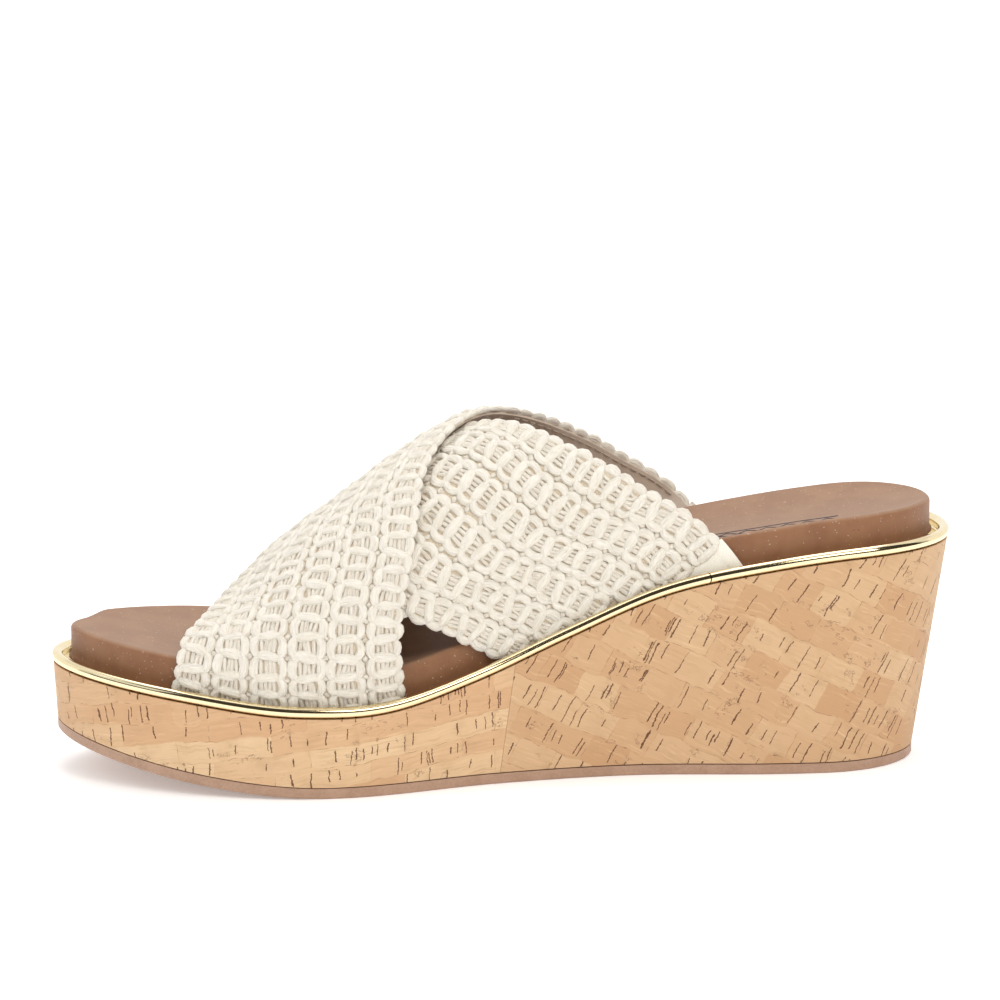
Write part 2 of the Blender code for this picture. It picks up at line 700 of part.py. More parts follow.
def margin(foot, outward):
    """The middle line of a lining's end, turned in under the footbed from the foot of the strap."""
    flat = np.array([outward[0], outward[1], 0.0])
    flat /= np.linalg.norm(flat)
    up = np.array([0, 0, 1.0])
    bend = 0.0009
    points = [foot - flat * reach for reach in (MARGIN_REACH, 0.5 * MARGIN_REACH)]
    for angle in np.radians([90, 60, 30, 0]):
        in_by = bend * (1 - math.cos(angle))
        points.append(foot - flat * in_by + up * bend * (1 - math.sin(angle)))
    points = np.array(points)
    rise = points[:, 2] - foot[2]
    points[:, 2] = welt_z(points[:, 0]) + MARGIN_HEIGHT + rise
    return points


def clear_scene():
    for old in list(bpy.data.objects):
        bpy.data.objects.remove(old, do_unlink=True)


def new_collection(name):
    made = bpy.data.collections.new(name)
    bpy.context.scene.collection.children.link(made)
    return made


clear_scene()
SANDAL = new_collection("wedge_sandal")
CUTTERS = new_collection("cutters")
FORM = instep_surface()

make_outsole()
make_core()
make_cork_cover("cork_cover_front", -HALF, SEAM_X - GAP / 2)
make_cork_cover("cork_cover_back", SEAM_X + GAP / 2, HALF)
make_welt()
make_footbed()
make_shank(make_board_and_filler())

over = Strap(
    "over_strap",
    (OVER_FRONT_TURN, OVER_FRONT_PLACE),
    (OVER_BACK_TURN, OVER_BACK_PLACE),
    over=True,
    tab_far=True,
)
under = Strap(
    "under_strap",
    (UNDER_TURN, UNDER_FRONT_PLACE),
    (UNDER_TURN, UNDER_BACK_PLACE),
    over=False,
    tab_far=False,
)
for strap in (over, under):
    strap.make_crochet()
    strap.make_lining()
    strap.make_tab()
over.make_stitches("front", 0.045, 0.16, 0.50)
over.make_stitches("back", 0.955, 0.58, 0.90)
under.make_stitches("front", 0.045, 0.17, 0.84)
under.make_stitches("back", 0.955, 0.12, 0.86)
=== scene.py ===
"""Looks of the wedge sandal: two crossed crochet bands over a cork-covered wedge with a gold welt.

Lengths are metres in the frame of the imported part: toe along -X, heel along +X, inner side -Y,
up +Z. The sizes of the last and of the bands are those that the part was designed with, so every
piece lies where its solid lies.
"""

import logging
import math
from dataclasses import dataclass
from enum import Enum
from typing import Union

import bpy
import numpy as np
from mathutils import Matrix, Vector


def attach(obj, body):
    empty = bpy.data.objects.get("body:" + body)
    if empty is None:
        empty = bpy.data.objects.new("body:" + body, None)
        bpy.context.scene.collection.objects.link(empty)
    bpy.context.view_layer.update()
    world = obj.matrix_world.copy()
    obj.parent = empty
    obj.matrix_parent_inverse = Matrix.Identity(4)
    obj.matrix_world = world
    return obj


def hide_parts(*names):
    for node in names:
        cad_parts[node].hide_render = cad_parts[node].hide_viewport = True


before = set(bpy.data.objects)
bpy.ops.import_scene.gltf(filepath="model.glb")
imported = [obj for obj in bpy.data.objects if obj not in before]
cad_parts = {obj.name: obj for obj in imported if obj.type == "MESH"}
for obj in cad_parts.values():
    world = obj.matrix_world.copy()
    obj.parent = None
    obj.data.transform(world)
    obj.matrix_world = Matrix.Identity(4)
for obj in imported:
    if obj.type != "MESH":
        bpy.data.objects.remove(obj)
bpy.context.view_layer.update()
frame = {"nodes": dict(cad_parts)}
LOG = logging.getLogger("sandal")
MM = 0.001

Colour = tuple[float, float, float]
Point = tuple[float, float, float]
Span = tuple[float, float]
Knots = tuple[tuple[float, ...], tuple[float, ...]]
Faces = list[tuple[int, ...]]
Arrays = tuple[np.ndarray, np.ndarray]
Socket = bpy.types.NodeSocket
Feed = Union[Socket, float, tuple]
Width = Union[np.ndarray, float]


# ---------------------------------------------------------------------------------------------
# The last: the shape that every layer follows
# ---------------------------------------------------------------------------------------------


def through(knots: np.ndarray, values: np.ndarray, at: np.ndarray) -> np.ndarray:
    """A smooth curve through the knots, flat beyond its ends.

    Args:
        knots: rising places of the knots.
        values: the value at each knot.
        at: places to read the curve at.

    Returns:
        The value at each place.
    """
    knots = np.asarray(knots, float)
    values = np.asarray(values, float)
    width = np.diff(knots)
    slope = np.diff(values) / width
    tangent = np.empty(len(knots))
    tangent[1:-1] = (slope[:-1] * width[1:] + slope[1:] * width[:-1]) / (width[1:] + width[:-1])
    tangent[0] = 1.5 * slope[0] - 0.5 * tangent[1]
    tangent[-1] = 1.5 * slope[-1] - 0.5 * tangent[-2]
    at = np.clip(at, knots[0], knots[-1])
    i = np.clip(np.searchsorted(knots, at, side="right") - 1, 0, len(width) - 1)
    t = (at - knots[i]) / width[i]
    rise = 3 * t**2 - 2 * t**3
    start = (t**3 - 2 * t**2 + t) * width[i] * tangent[i]
    end = (t**3 - t**2) * width[i] * tangent[i + 1]
    return values[i] + rise * (values[i + 1] - values[i]) + start + end


def smooth(low: float, high: float, at: np.ndarray) -> np.ndarray:
    """A smooth step from 0 at low to 1 at high."""
    t = np.clip((np.asarray(at, float) - low) / (high - low), 0, 1)
    return t * t * (3 - 2 * t)


def spread(count: int) -> np.ndarray:
    """Fractions from toe to heel, close together at both ends."""
    return (1 - np.cos(np.linspace(0, math.pi, count))) / 2


def along(points: np.ndarray) -> np.ndarray:
    """How far each point of a line lies from its first point."""
    return np.append(0, np.cumsum(np.linalg.norm(np.diff(points, axis=0), axis=1)))


@dataclass(frozen=True)
class Last:
    """Plan and heights of the bottom of the shoe."""

    length: float = 0.258
    ball_width: float = 0.0922
    heel_width: float = 0.0662
    heel_height: float = 0.0652
    platform_height: float = 0.0241
    toe_height: float = 0.0321
    toe_spring: float = 0.0123
    toe_round: float = 0.0700
    heel_round: float = 0.0325
    heel_power: float = 2.14
    toe_lean: float = 0.0009
    side_lean: float = 0.0034
    heel_lean: float = 0.0090
    outsole: float = 0.0030
    cork: float = 0.0010
    gap: float = 0.0003
    bead_width: float = 0.0023
    strap_build: float = 0.0035
    easing: float = 0.0004
    end_margin: float = 0.0052
    footbed_edge: float = 0.0106

    @property
    def half(self) -> float:
        """Half the length."""
        return self.length / 2

    @property
    def side_margin(self) -> float:
        """From the edge of the welt to the side of the footbed: bead, easing and strap."""
        return self.bead_width + self.gap + self.easing + self.strap_build

    def welt_z(self, x: np.ndarray) -> np.ndarray:
        """Height of the welt line at a place along the shoe.

        Args:
            x: places along the shoe.

        Returns:
            The height at each place.
        """
        places = np.array([-1, -0.736, -0.465, -0.271, -0.078, 0.116, 0.349, 0.581, 0.775, 1])
        share = np.array([0, 0.015, 0.179, 0.429, 0.725, 0.887, 0.966, 1])
        toe = self.platform_height + (self.toe_height - self.platform_height) * np.array([1, 0.475])
        arch = self.platform_height + (self.heel_height - self.platform_height) * share
        return through(self.half * places, np.concatenate([toe, arch]), x)

    def sole_z(self, x: np.ndarray) -> np.ndarray:
        """Height of the underside of the outsole."""
        lift = np.clip((-0.4 * self.half - x) / (0.6 * self.half), 0, None)
        return self.toe_spring * lift**1.74

    def rounding(self, x: np.ndarray, low: float, high: float) -> np.ndarray:
        """The share of the full width that is left near the rounded toe and heel.

        Args:
            x: places along the shoe.
            low: place of the tip of the toe.
            high: place of the back of the heel.

        Returns:
            The share at each place, 0 to 1.
        """
        toe = np.clip((x - low) / self.toe_round, 0, 1)
        heel = np.clip((high - x) / self.heel_round, 0, 1)
        power = self.heel_power
        return np.sqrt(1 - (1 - toe) ** 2) * (1 - (1 - heel) ** power) ** (1 / power)

    def half_widths(self, x: np.ndarray) -> Arrays:
        """Inner and outer half width, before the toe and the heel are rounded.

        Args:
            x: places along the shoe.

        Returns:
            The inner and the outer half width at each place.
        """
        places = self.half * np.array([-1.0, -0.659, -0.349, -0.039, 0.271, 0.581, 1.0])
        ball = np.array([[0.430, 0.473, 0.490, 0.378, 0, 0, 0], [0.437, 0.490, 0.510, 0.456, 0, 0, 0]])
        heel = np.array([[0, 0, 0, 0, 0.453, 0.503, 0.492], [0, 0, 0, 0, 0.542, 0.476, 0.508]])
        inner, outer = ball * self.ball_width + heel * self.heel_width
        return through(places, inner, x), through(places, outer, x)

    def outline(
        self, end: float, side: float, top: bool, share: np.ndarray
    ) -> tuple[np.ndarray, np.ndarray, np.ndarray]:
        """The plan at the welt or at the ground, drawn in by end and side.

        Args:
            end: how far the plan is drawn in at toe and heel.
            side: how far it is drawn in along the sides.
            top: True for the welt, False for the ground.
            share: fractions of the length at which to read it.

        Returns:
            Places along the shoe, and the y of the inner and of the outer side there.
        """
        t = spread(360)
        x = -self.half + self.length * t
        low, high, drawn = -self.half, self.half, 0
        if not top:
            x = x + self.toe_lean * (1 - t) ** 4 - self.heel_lean * t**4
            low, high = low + self.toe_lean, high - self.heel_lean
            drawn = np.interp(t, [0, 0.5, 1], [self.toe_lean, self.side_lean, 0.6 * self.heel_lean])
        width = self.rounding(x, low, high)
        inner, outer = self.half_widths(x)
        inner, outer = -(inner - drawn) * width, (outer - drawn) * width
        loop = np.stack([np.append(x, x[-2:0:-1]), np.append(inner, outer[-2:0:-1])], 1)
        ahead = np.roll(loop, -1, 0) - np.roll(loop, 1, 0)
        inward = np.stack([-ahead[:, 1], ahead[:, 0]], 1) / np.linalg.norm(ahead, axis=1)[:, None]
        sideways = 1 - (1 - inward[:, 1:] ** 2) ** 4
        loop = loop + inward * (end + (side - end) * sideways)
        near = loop[: len(t)]
        far = np.append(loop[:1], loop[len(t) - 1 :][::-1], 0)
        x = near[0, 0] + (near[-1, 0] - near[0, 0]) * np.asarray(share)
        return x, np.interp(x, near[:, 0], near[:, 1]), np.interp(x, far[:, 0], far[:, 1])

    def ring(self, end: float, side: float, height: float, share: np.ndarray) -> np.ndarray:
        """The closed outline at the welt as points, a height over the welt line.

        Args:
            end: how far the outline is drawn in at toe and heel.
            side: how far it is drawn in along the sides.
            height: height over the welt line.
            share: fractions of the length at which to read it.

        Returns:
            Points round the outline: inner side from toe to heel, then the outer side back.
        """
        x, inner, outer = self.outline(end, side, True, share)
        plan = np.stack([np.append(x, x[-2:0:-1]), np.append(inner, outer[-2:0:-1])], 1)
        return np.column_stack([plan, self.welt_z(plan[:, 0]) + height])


@dataclass
class Instep:
    """The form of the foot that the bands are stretched over."""

    last: Last
    stations: tuple[float, ...] = (-0.80, -0.60, -0.40, -0.20, -0.05, 0.10, 0.30, 0.55)
    heights: tuple[float, ...] = (0.0015, 0.0091, 0.0302, 0.0464, 0.0511, 0.0465, 0.0478, 0.0430)
    power: float = 2.04

    def __post_init__(self) -> None:
        """Works out the grid of points and of outward directions."""
        last = self.last
        self.places = np.linspace(-0.80 * last.half, 0.58 * last.half, 150)
        turns = np.linspace(0, 1, 181)
        x, inner, outer = last.outline(last.end_margin, last.side_margin, True, spread(240))
        angle = np.linspace(0, math.pi, 500)
        power = 2 / self.power
        across = -np.sign(np.cos(angle)) * np.abs(np.cos(angle)) ** power
        up = np.abs(np.sin(angle)) ** power
        stations = last.half * np.array(self.stations)
        grid = np.empty((len(self.places), len(turns), 3))
        for i, place in enumerate(self.places):
            low, high = np.interp(place, x, inner), np.interp(place, x, outer)
            foot = float(last.welt_z(place))
            rise = max(float(through(stations, self.heights, place)), self.heights[0])
            y = np.concatenate([[low], (low + high) / 2 + (high - low) / 2 * across, [high]])
            z = np.concatenate([[foot], foot + last.footbed_edge + rise * up, [foot]])
            way = np.append(0, np.cumsum(np.hypot(np.diff(y), np.diff(z))))
            grid[i, :, 0] = place
            grid[i, :, 1] = np.interp(turns * way[-1], way, y)
            grid[i, :, 2] = np.interp(turns * way[-1], way, z)
        outward = np.cross(np.gradient(grid, axis=0), np.gradient(grid, axis=1))
        outward /= np.linalg.norm(outward, axis=2)[..., None]
        self.grids = (grid, outward)

    def at(self, x: np.ndarray, turn: np.ndarray, offset: np.ndarray) -> Arrays:
        """Points over the form.

        Args:
            x: places along the shoe.
            turn: share of the way round the form, from the inner to the outer side.
            offset: how far the points are moved outward.

        Returns:
            The points, and the outward direction at each.
        """
        shape = self.grids[0].shape
        a = (np.asarray(x, float) - self.places[0]) / (self.places[1] - self.places[0])
        b = np.asarray(turn, float) * (shape[1] - 1)
        i = np.clip(a.astype(int), 0, shape[0] - 2)
        j = np.clip(b.astype(int), 0, shape[1] - 2)
        a, b = (a - i)[..., None], (b - j)[..., None]
        found = []
        for grid in self.grids:
            low = (1 - b) * grid[i, j] + b * grid[i, j + 1]
            high = (1 - b) * grid[i + 1, j] + b * grid[i + 1, j + 1]
            found.append((1 - a) * low + a * high)
        outward = found[1] / np.linalg.norm(found[1], axis=-1)[..., None]
        return found[0] + outward * np.asarray(offset)[..., None], outward


# ---------------------------------------------------------------------------------------------
# Meshes
# ---------------------------------------------------------------------------------------------


@dataclass
class Shape:
    """Points, faces and named values of a mesh that is being put together."""

    points: np.ndarray
    faces: Faces
    values: dict[str, np.ndarray]

    @staticmethod
    def joined(shapes: list["Shape"]) -> "Shape":
        """Several shapes as one.

        Args:
            shapes: the shapes, all with the same named values.

        Returns:
            One shape with all their points and faces.
        """
        faces, first = [], 0
        for shape in shapes:
            faces += [tuple(i + first for i in face) for face in shape.faces]
            first += len(shape.points)
        names = shapes[0].values.keys()
        values = {name: np.concatenate([shape.values[name] for shape in shapes]) for name in names}
        return Shape(np.concatenate([shape.points for shape in shapes]), faces, values)

    def build(self, name: str, finish: bpy.types.Material, sharp: float = 180.0) -> bpy.types.Object:
        """The shape as an object.

        Args:
            name: the piece's name.
            finish: its material.
            sharp: angle in degrees above which an edge is drawn sharp.

        Returns:
            The new object, linked to the scene.
        """
        mesh = bpy.data.meshes.new(name)
        mesh.from_pydata(self.points.tolist(), [], self.faces)
        for key, numbers in self.values.items():
            kind = "FLOAT_VECTOR" if numbers.ndim == 2 else "FLOAT"
            attribute = mesh.attributes.new(key, kind, "POINT")
            field_name = "vector" if numbers.ndim == 2 else "value"
            attribute.data.foreach_set(field_name, np.ascontiguousarray(numbers, np.float32).ravel())
        mesh.shade_smooth()
        if sharp < 180:
            mesh.set_sharp_from_angle(angle=math.radians(sharp))
        mesh.materials.append(finish)
        mesh.update()
        made = bpy.data.objects.new(name, mesh)
        bpy.context.scene.collection.objects.link(made)
        return made


def loft(rows: np.ndarray, closed: bool) -> Faces:
    """Quads between rows of points, each row closed into a loop or left open.

    Args:
        rows: points in rows, (rows, points, 3).
        closed: True where each row is a loop.

    Returns:
        The quads, as indices into the points taken row by row.
    """
    count, total = rows.shape[:2]
    last = total if closed else total - 1
    i, j = np.meshgrid(np.arange(count - 1), np.arange(last), indexing="ij")
    k = (j + 1) % total
    quads = np.stack([i * total + j, i * total + k, (i + 1) * total + k, (i + 1) * total + j], -1)
    return [tuple(face) for face in quads.reshape(-1, 4).tolist()]


def tubes(
    paths: np.ndarray,
    normals: np.ndarray,
    wide: Width,
    deep: Width,
    sides: int,
    rng: np.random.Generator,
    plied: int = 8,
) -> Shape:
    """Strands of yarn, each a closed tube of oval section along its own path.

    Args:
        paths: points of each strand, (strands, points, 3).
        normals: outward direction of the cloth at each point.
        wide: half width of the strand in the plane of the cloth at each of its points.
        deep: half its height out of the cloth.
        sides: corners of the section.
        rng: source of the strands' differences in tone and grain.
        plied: the fewest corners at which a strand shows its three plies.

    Returns:
        The tubes, with the coordinates of their grain and their tone.
    """
    count, steps = paths.shape[:2]
    ahead = np.gradient(paths, axis=1)
    ahead /= np.linalg.norm(ahead, axis=2)[..., None]
    aside = np.cross(ahead, normals)
    aside /= np.linalg.norm(aside, axis=2)[..., None]
    upward = np.cross(aside, ahead)
    wide = np.broadcast_to(wide, (count, steps))[..., None, None]
    deep = np.broadcast_to(deep, (count, steps))[..., None, None]
    angle = 2 * math.pi * np.arange(sides) / sides
    round_x = np.cos(angle)[None, None, :, None]
    round_y = np.sin(angle)[None, None, :, None]
    swell = rng.normal(0, 0.07, (count, steps, 1, 1))
    swell = (swell + np.roll(swell, 1, 1) + np.roll(swell, -1, 1)) / 1.7
    wide, deep = wide * (1 + swell), deep * (1 + swell)
    step = np.linalg.norm(np.diff(paths, axis=1), axis=2)
    way = np.concatenate([np.zeros((count, 1)), np.cumsum(step, axis=1)], 1)
    way = way + rng.uniform(0, 0.5, (count, 1))
    plies = (1 + 0.07 * np.cos(3 * angle + way[:, :, None] * 1500))[..., None] if sides >= plied else 1
    section = aside[:, :, None] * wide * round_x + upward[:, :, None] * deep * round_y
    points = paths[:, :, None] + plies * section
    grain = np.empty((count, steps, sides, 3))
    grain[..., 0] = (wide * round_x)[..., 0]
    grain[..., 1] = (deep * round_y)[..., 0]
    grain[..., 2] = way[..., None]
    tone = np.broadcast_to(rng.uniform(0, 1, (count, 1, 1)), (count, steps, sides))
    one = np.array(loft(points[0], True))
    quads = one[None] + (np.arange(count) * steps * sides)[:, None, None]
    faces = [tuple(face) for face in quads.reshape(-1, 4).tolist()]
    for first in range(0, count * steps * sides, steps * sides):
        faces.append(tuple(range(first + sides - 1, first - 1, -1)))
        end = first + (steps - 1) * sides
        faces.append(tuple(range(end, end + sides)))
    values = {"grain": grain.reshape(-1, 3) / MM, "tone": tone.ravel()}
    return Shape(points.reshape(-1, 3), faces, values)


def skin(section: np.ndarray) -> Faces:
    """Faces of a closed sheet whose rows run along one side and back along the other.

    Args:
        section: rows of points, the second half going back over the first.

    Returns:
        The faces, with both ends closed.
    """
    count, total = section.shape[:2]
    faces = loft(np.concatenate([section, section[:1]]), False)
    faces = [tuple(i % (count * total) for i in face) for face in faces]
    for end in (0, total - 1):
        for row in range(count // 2 - 1):
            mate = count - 1 - row
            quad = (row * total, (row + 1) * total, (mate - 1) * total, mate * total)
            faces.append(tuple(i + end for i in (quad[::-1] if end else quad)))
    return faces


def cloth(rows: np.ndarray, thickness: float) -> Shape:
    """A closed sheet of even thickness about a grid of points, (across, along, 3).

    Args:
        rows: points in the middle of the cloth.
        thickness: its thickness.

    Returns:
        The sheet, with the coordinates of its grain; its upper side comes first.
    """
    normal = np.cross(np.gradient(rows, axis=1), np.gradient(rows, axis=0))
    normal /= np.linalg.norm(normal, axis=2)[..., None]
    upper = rows + normal * thickness / 2
    lower = rows - normal * thickness / 2
    section = np.concatenate([upper, lower[::-1]])
    across = along(rows[:, rows.shape[1] // 2])
    grain = np.zeros(section.shape)
    grain[..., 0] = along(rows[len(rows) // 2])
    grain[..., 1] = np.concatenate([across, across[::-1]])[:, None]
    return Shape(section.reshape(-1, 3), skin(section), {"grain": grain.reshape(-1, 3) / MM})


# ---------------------------------------------------------------------------------------------
# Finishes
# ---------------------------------------------------------------------------------------------


class NodeWork:
    """A short way to lay out one material's nodes."""

    def __init__(self, name: str) -> None:
        """Makes an empty material with its shader.

        Args:
            name: the material's name.
        """
        self.material = bpy.data.materials.new(name)
        self.material.use_nodes = True
        self.tree = self.material.node_tree
        self.shader = self.tree.nodes["Principled BSDF"]

    def node(self, kind: str, **settings: Union[str, float]) -> bpy.types.Node:
        """A new node with its settings.

        Args:
            kind: the node's type.
            **settings: its properties by name.

        Returns:
            The new node.
        """
        made = self.tree.nodes.new(kind)
        for key, value in settings.items():
            setattr(made, key, value)
        return made

    def feed(self, socket: Socket, value: Feed) -> None:
        """Links a socket to another's output, or sets its number.

        Args:
            socket: the input to feed.
            value: another node's output, a number, or a colour with its alpha.
        """
        if isinstance(value, Socket):
            self.tree.links.new(value, socket)
        else:
            socket.default_value = value

    def calc(self, operation: str, *values: Feed) -> Socket:
        """The result of one Math node.

        Args:
            operation: the node's operation.
            *values: what it works on, in order.

        Returns:
            Its result.
        """
        made = self.node("ShaderNodeMath", operation=operation)
        for socket, value in zip(made.inputs, values):
            self.feed(socket, value)
        return made.outputs[0]

    def plus(self, first: Feed, second: Feed) -> Socket:
        """The sum of two values."""
        return self.calc("ADD", first, second)

    def minus(self, first: Feed, second: Feed) -> Socket:
        """The first value less the second."""
        return self.calc("SUBTRACT", first, second)

    def times(self, first: Feed, second: Feed) -> Socket:
        """The product of two values."""
        return self.calc("MULTIPLY", first, second)

    def clamp(self, value: Feed, low: float, high: float) -> Socket:
        """A value mapped from low to high onto 0 to 1 and held there.

        Args:
            value: the value to map.
            low: what becomes 0; it may be the greater of the two.
            high: what becomes 1.

        Returns:
            The mapped value, eased at both ends.
        """
        made = self.node("ShaderNodeMapRange", interpolation_type="SMOOTHSTEP")
        self.feed(made.inputs["Value"], value)
        made.inputs["From Min"].default_value = low
        made.inputs["From Max"].default_value = high
        return made.outputs["Result"]

    def mix(self, share: Feed, first: Feed, second: Feed) -> Socket:
        """One colour mixed into another.

        Args:
            share: share of the second colour.
            first: the first colour.
            second: the second colour.

        Returns:
            The mixed colour.
        """
        made = self.node("ShaderNodeMix", data_type="RGBA")
        self.feed(made.inputs[0], share)
        self.feed(made.inputs[6], (*first, 1) if isinstance(first, tuple) else first)
        self.feed(made.inputs[7], (*second, 1) if isinstance(second, tuple) else second)
        return made.outputs[2]

    def place(self, attribute: str = "") -> Socket:
        """The coordinates of a named attribute, or the object's own in metres.

        Args:
            attribute: the attribute's name, or nothing for the object's own coordinates.

        Returns:
            The coordinates.
        """
        if attribute:
            made = self.node("ShaderNodeAttribute", attribute_name=attribute)
            return made.outputs["Vector"]
        return self.node("ShaderNodeTexCoord").outputs["Object"]

    def value(self, attribute: str) -> Socket:
        """The number of a named attribute."""
        return self.node("ShaderNodeAttribute", attribute_name=attribute).outputs["Fac"]

    def turned(self, vector: Socket, angle: float, scale: Point) -> Socket:
        """Coordinates turned about Z by an angle in degrees, then scaled.

        Args:
            vector: the coordinates.
            angle: how far they are turned.
            scale: what they are then multiplied by.

        Returns:
            The new coordinates.
        """
        turn = self.node("ShaderNodeMapping", vector_type="POINT")
        self.feed(turn.inputs["Vector"], vector)
        turn.inputs["Rotation"].default_value = (0, 0, math.radians(angle))
        grow = self.node("ShaderNodeMapping", vector_type="POINT")
        self.feed(grow.inputs["Vector"], turn.outputs[0])
        grow.inputs["Scale"].default_value = scale
        return grow.outputs[0]

    def noise(self, vector: Socket, scale: float, detail: float = 2, rough: float = 0.5) -> Socket:
        """A noise from 0 to 1.

        Args:
            vector: the coordinates that it is read at.
            scale: how fine it is.
            detail: how many finer layers it has.
            rough: how strong those are.

        Returns:
            The noise.
        """
        made = self.node("ShaderNodeTexNoise")
        self.feed(made.inputs["Vector"], vector)
        made.inputs["Scale"].default_value = scale
        made.inputs["Detail"].default_value = detail
        made.inputs["Roughness"].default_value = rough
        return made.outputs["Fac"]

    def bump(self, height: Socket, strength: float, distance: float) -> Socket:
        """A relief from a height.

        Args:
            height: the height.
            strength: how strongly it shows, 0 to 1.
            distance: its depth.

        Returns:
            The relief as a normal.
        """
        made = self.node("ShaderNodeBump")
        self.feed(made.inputs["Height"], height)
        made.inputs["Strength"].default_value = strength
        made.inputs["Distance"].default_value = distance
        return made.outputs[0]

    def dress(self, **inputs: Feed) -> bpy.types.Material:
        """Sets or links the shader's sockets, named with underscores for spaces.

        Args:
            **inputs: a number, a colour or an output for each socket.

        Returns:
            The material.
        """
        for key, value in inputs.items():
            socket = self.shader.inputs[key.replace("_", " ")]
            self.feed(socket, (*value, 1) if isinstance(value, tuple) else value)
        return self.material


@dataclass(frozen=True)
class CottonYarn:
    """Soft cream roving with a long fine grain."""

    name: str
    light: Colour = (0.955, 0.90, 0.80)
    dark: Colour = (0.85, 0.765, 0.63)

    def build(self) -> bpy.types.Material:
        """The finish as a material.

        Returns:
            The finished material.
        """
        work = NodeWork(self.name)
        grain = work.place("grain")
        fibres = work.noise(work.turned(grain, 0, (2.6, 2.6, 0.28)), 1.0, 3, 0.6)
        patches = work.noise(grain, 0.35, 2)
        tone = work.times(work.value("tone"), 0.35)
        share = work.plus(work.times(work.clamp(fibres, 0.62, 0.36), 0.60), tone)
        share = work.times(share, work.clamp(patches, 0.2, 0.8))
        return work.dress(
            Base_Color=work.mix(share, self.light, self.dark),
            Roughness=0.92,
            Sheen_Weight=0.25,
            Sheen_Roughness=0.5,
            Specular_IOR_Level=0.2,
            Normal=work.bump(fibres, 1.0, 0.0009),
        )


@dataclass(frozen=True)
class HoleShadeCloth:
    """Tan foundation cloth seen in the holes of the crochet; its tan, darker than the yarn, is painted
    shade in the holes.
    """

    name: str
    light: Colour = (0.80, 0.70, 0.55)
    dark: Colour = (0.60, 0.49, 0.35)

    def build(self) -> bpy.types.Material:
        """The finish as a material.

        Returns:
            The finished material.
        """
        work = NodeWork(self.name)
        weave = work.noise(work.place("grain"), 2.6, 3, 0.6)
        return work.dress(
            Base_Color=work.mix(work.clamp(weave, 0.3, 0.7), self.dark, self.light),
            Roughness=0.95,
            Normal=work.bump(weave, 0.6, 0.0002),
        )


@dataclass(frozen=True)
class Microfibre:
    """Brushed taupe lining."""

    name: str = "lining_microfibre"
    light: Colour = (0.68, 0.57, 0.47)
    dark: Colour = (0.55, 0.45, 0.36)

    def build(self) -> bpy.types.Material:
        """The finish as a material.

        Returns:
            The finished material.
        """
        work = NodeWork(self.name)
        grain = work.place("grain")
        nap = work.noise(grain, 3.2, 4, 0.7)
        clouds = work.noise(work.turned(grain, 20, (0.10, 0.25, 1)), 1.0, 3)
        share = work.plus(work.times(nap, 0.5), work.times(clouds, 0.6))
        return work.dress(
            Base_Color=work.mix(work.clamp(share, 0.25, 0.85), self.dark, self.light),
            Roughness=0.88,
            Sheen_Weight=0.3,
            Sheen_Roughness=0.4,
            Normal=work.bump(nap, 0.4, 0.00012),
        )


@dataclass(frozen=True)
class Webbing:
    """Smooth off-white tape with a fine rib."""

    name: str = "cotton_webbing"
    light: Colour = (0.93, 0.895, 0.81)
    dark: Colour = (0.84, 0.79, 0.68)

    def build(self) -> bpy.types.Material:
        """The finish as a material.

        Returns:
            The finished material.
        """
        work = NodeWork(self.name)
        grain = work.place("grain")
        rib = work.node("ShaderNodeTexWave", bands_direction="X")
        work.feed(rib.inputs["Vector"], work.turned(grain, 35, (1, 1, 1)))
        rib.inputs["Scale"].default_value = 0.55
        rib.inputs["Distortion"].default_value = 1.0
        cloud = work.noise(grain, 0.6, 3)
        share = work.plus(work.times(rib.outputs["Fac"], 0.25), work.times(cloud, 0.6))
        return work.dress(
            Base_Color=work.mix(share, self.light, self.dark),
            Roughness=0.62,
            Sheen_Weight=0.15,
            Normal=work.bump(rib.outputs["Fac"], 0.35, 0.00012),
        )


@dataclass(frozen=True)
class Thread:
    """Twisted sewing thread."""

    name: str = "stitch_thread"
    light: Colour = (0.52, 0.43, 0.34)
    dark: Colour = (0.34, 0.27, 0.21)

    def build(self) -> bpy.types.Material:
        """The finish as a material.

        Returns:
            The finished material.
        """
        work = NodeWork(self.name)
        twist = work.noise(work.turned(work.place("grain"), 0, (6, 6, 5)), 1.0, 2)
        return work.dress(
            Base_Color=work.mix(work.clamp(twist, 0.3, 0.7), self.dark, self.light),
            Roughness=0.55,
            Sheen_Weight=0.2,
            Normal=work.bump(twist, 0.6, 0.0001),
        )


@dataclass(frozen=True)
class Slits:
    """One family of dark slits in the cork, in millimetres."""

    stretch: float
    seed: float
    share: float
    thick: float


